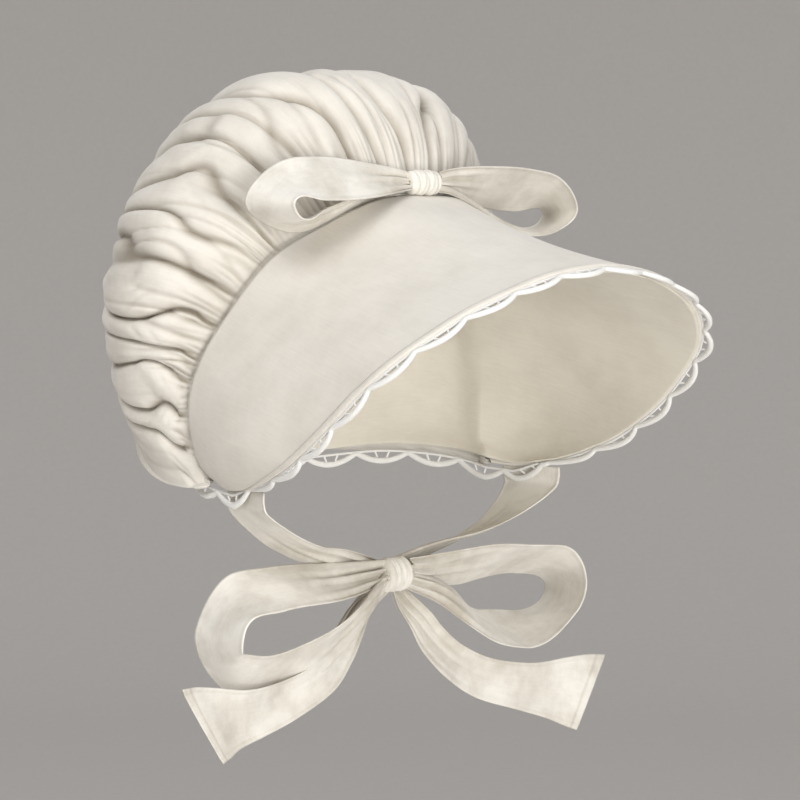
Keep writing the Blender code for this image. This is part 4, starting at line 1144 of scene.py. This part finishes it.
class BONNET_OT_chin_ties(bpy.types.Operator):
    """Builds the ties from the brim's corners to the chin knot"""

    bl_idname = "bonnet.chin_ties"
    bl_label = "Chin ties"

    def execute(self, context):
        """Each tie hangs from inside or outside the edge and narrows towards the knot."""
        size, trim, cloth = settings_of(context)
        for side, label, shift in ((-1, "right", trim.tie_shifts[0]), (1, "left", trim.tie_shifts[1])):
            scale = np.array([size.brim_half_width, size.brim_reach, trim.chin_knot[1], 0.0, 0.0, 0.0])
            share = np.linspace(0, 1, 161)
            curve = table_curve(TIE_ROWS, scale, share)
            line = curve[:, :3] * scale[:3] * FORWARD_AND_DOWN * [side, 1.0, 1.0]
            line[:, 0] -= side * shift * np.interp(share, (0.2, 0.7), [1.0, 0.0])
            turn, splay = np.radians(curve[:, 3]), np.radians(curve[:, 5])
            across = np.stack([side * np.sin(splay), -np.cos(turn) * np.cos(splay), np.sin(turn)], axis=1)
            along = unit(np.gradient(line, axis=0))
            across = unit(across - along * (across * along).sum(axis=1, keepdims=True))
            across = across * (curve[:, 4] * trim.chin_width / 2)[:, None]
            squeeze = smooth_step(1 - curve[:, 4], 0.15, 0.8)
            cup = np.zeros(len(line))
            grid, shade_and_stitches = ribbon_grid(line, across, trim.chin_width, squeeze, cup, (40.0, 0.0004, side))
            name, node = "chin_tie_ribbon_" + label, "chin_tie_" + label
            finish_ribbon(name, grid, shade_and_stitches, cloth["ribbon"], node)
        return {"FINISHED"}


def area_light(name, place, target, size, power, colour):
    """A soft square light that faces the target."""
    light = bpy.data.lights.new(name, "AREA")
    light.energy = power
    light.size = size
    light.color = colour
    obj = add_object(name, light)
    obj.location = place
    way = np.array(target) - np.array(place)
    flat = math.hypot(way[0], way[1])
    obj.rotation_euler = (math.atan2(flat, -way[2]), 0.0, math.atan2(way[1], way[0]) - math.pi / 2)


class BONNET_OT_stage(bpy.types.Operator):
    """Builds the floor, the lights and the camera"""

    bl_idname = "bonnet.stage"
    bl_label = "Stage"

    def execute(self, context):
        """The floor is flat and turns up behind the bonnet in a quarter round."""
        colours = context.scene.bonnet_colours
        turn = np.linspace(0.0, 2 * math.pi, 129)[None]
        reach = np.concatenate([[0.001], np.linspace(0.3, FLOOR_RADIUS, 12)])[:, None]
        bend = np.linspace(0, math.pi / 2, 24)[1:, None]
        flat = np.stack([np.cos(turn) * reach, np.sin(turn) * reach, turn * reach * 0], axis=-1)
        wall_reach = FLOOR_RADIUS + FLOOR_BEND * np.sin(bend)
        wall_rise = FLOOR_BEND * (1 - np.cos(bend)) + turn * 0
        wall = np.stack([np.cos(turn) * wall_reach, np.sin(turn) * wall_reach, wall_rise], axis=-1)
        top = wall[-1:] + np.array([0.0, 0.0, FLOOR_WALL])
        grid = np.concatenate([flat, wall, top], axis=0) + np.array([0.0, 0.0, -FLOOR_DROP])
        floor = cloth_mesh("floor", grid)
        material = bpy.data.materials.new("pale floor")
        material.use_nodes = True
        tree = material.node_tree
        shader = tree.nodes["Principled BSDF"]
        shader.inputs["Roughness"].default_value = 0.95
        place = node_of(tree, "ShaderNodeTexCoord", (-900, 0))
        sockets = {"Vector": place.outputs["Object"], "Scale": 60.0, "Detail": 5.0}
        grain = node_of(tree, "ShaderNodeTexNoise", (-700, 0), sockets)
        darker, paler = ([min(1.0, c * share) for c in colours.floor] for share in (0.97, 1.03))
        sockets = {"Factor": grain.outputs["Fac"], "A": (*darker, 1.0), "B": (*paler, 1.0)}
        tint = node_of(tree, "ShaderNodeMix", (-450, 0), sockets, data_type="RGBA")
        tree.links.new(tint.outputs["Result"], shader.inputs["Base Color"])
        floor.data.materials.append(material)
        for name, spot, width, power, colour in LIGHTS:
            area_light(name, spot, LIT_POINT, width, power, colour)
        world = bpy.data.worlds.new("studio")
        world.use_nodes = True
        sky = world.node_tree.nodes["Background"]
        sky.inputs["Color"].default_value = (0.95, 0.96, 1.0, 1.0)
        sky.inputs["Strength"].default_value = 0.60
        context.scene.world = world
        azimuth, elevation = math.radians(VIEW_TURN), math.radians(VIEW_RISE)
        way = np.array([
            math.sin(azimuth) * math.cos(elevation),
            -math.cos(azimuth) * math.cos(elevation),
            math.sin(elevation),
        ])
        camera = bpy.data.cameras.new("camera")
        camera.sensor_width = SENSOR_WIDTH
        camera.lens = SENSOR_WIDTH * VIEW_DISTANCE / VIEW_WIDTH
        camera.clip_start = 0.05
        eye = add_object("camera", camera)
        eye.location = np.array(VIEW_TARGET) + way * VIEW_DISTANCE
        eye.rotation_euler = (math.pi / 2 - elevation, 0.0, azimuth)
        context.scene.camera = eye
        context.scene.view_settings.view_transform = "Standard"
        return {"FINISHED"}


class BONNET_PT_panel(bpy.types.Panel):
    """Lists the bonnet's sizes, colours and pieces"""

    bl_label = "Poke bonnet"
    bl_idname = "BONNET_PT_panel"
    bl_space_type = "VIEW_3D"
    bl_region_type = "UI"
    bl_category = "Bonnet"

    def draw(self, context):
        """Shows every property, then a button for each piece."""
        column = self.layout.column()
        for group in (context.scene.bonnet_sizes, context.scene.bonnet_trim, context.scene.bonnet_colours):
            for name in group.__annotations__:
                column.prop(group, name)
        for operator in OPERATORS:
            column.operator(operator.bl_idname)


GROUPS = (BonnetSizes, TrimSizes, BonnetColours)
OPERATORS = (
    BONNET_OT_brim,
    BONNET_OT_lining,
    BONNET_OT_crown,
    BONNET_OT_lace,
    BONNET_OT_top_bow,
    BONNET_OT_chin_bow,
    BONNET_OT_chin_ties,
    BONNET_OT_stage,
)


def register():
    """Registers the classes and hangs the settings on the scene."""
    for item in (*GROUPS, *OPERATORS, BONNET_PT_panel):
        bpy.utils.register_class(item)
    bpy.types.Scene.bonnet_sizes = bpy.props.PointerProperty(type=BonnetSizes)
    bpy.types.Scene.bonnet_trim = bpy.props.PointerProperty(type=TrimSizes)
    bpy.types.Scene.bonnet_colours = bpy.props.PointerProperty(type=BonnetColours)


def unregister():
    """Takes the settings and classes away again."""
    del bpy.types.Scene.bonnet_sizes
    del bpy.types.Scene.bonnet_trim
    del bpy.types.Scene.bonnet_colours
    for item in reversed((*GROUPS, *OPERATORS, BONNET_PT_panel)):
        bpy.utils.unregister_class(item)


def main():
    """Builds every piece."""
    register()
    bpy.ops.bonnet.brim()
    bpy.ops.bonnet.lining()
    bpy.ops.bonnet.crown()
    bpy.ops.bonnet.lace()
    bpy.ops.bonnet.top_bow()
    bpy.ops.bonnet.chin_bow()
    bpy.ops.bonnet.chin_ties()
    bpy.ops.bonnet.stage()
    bpy.context.view_layer.update()


if __name__ == "__main__":
    main()
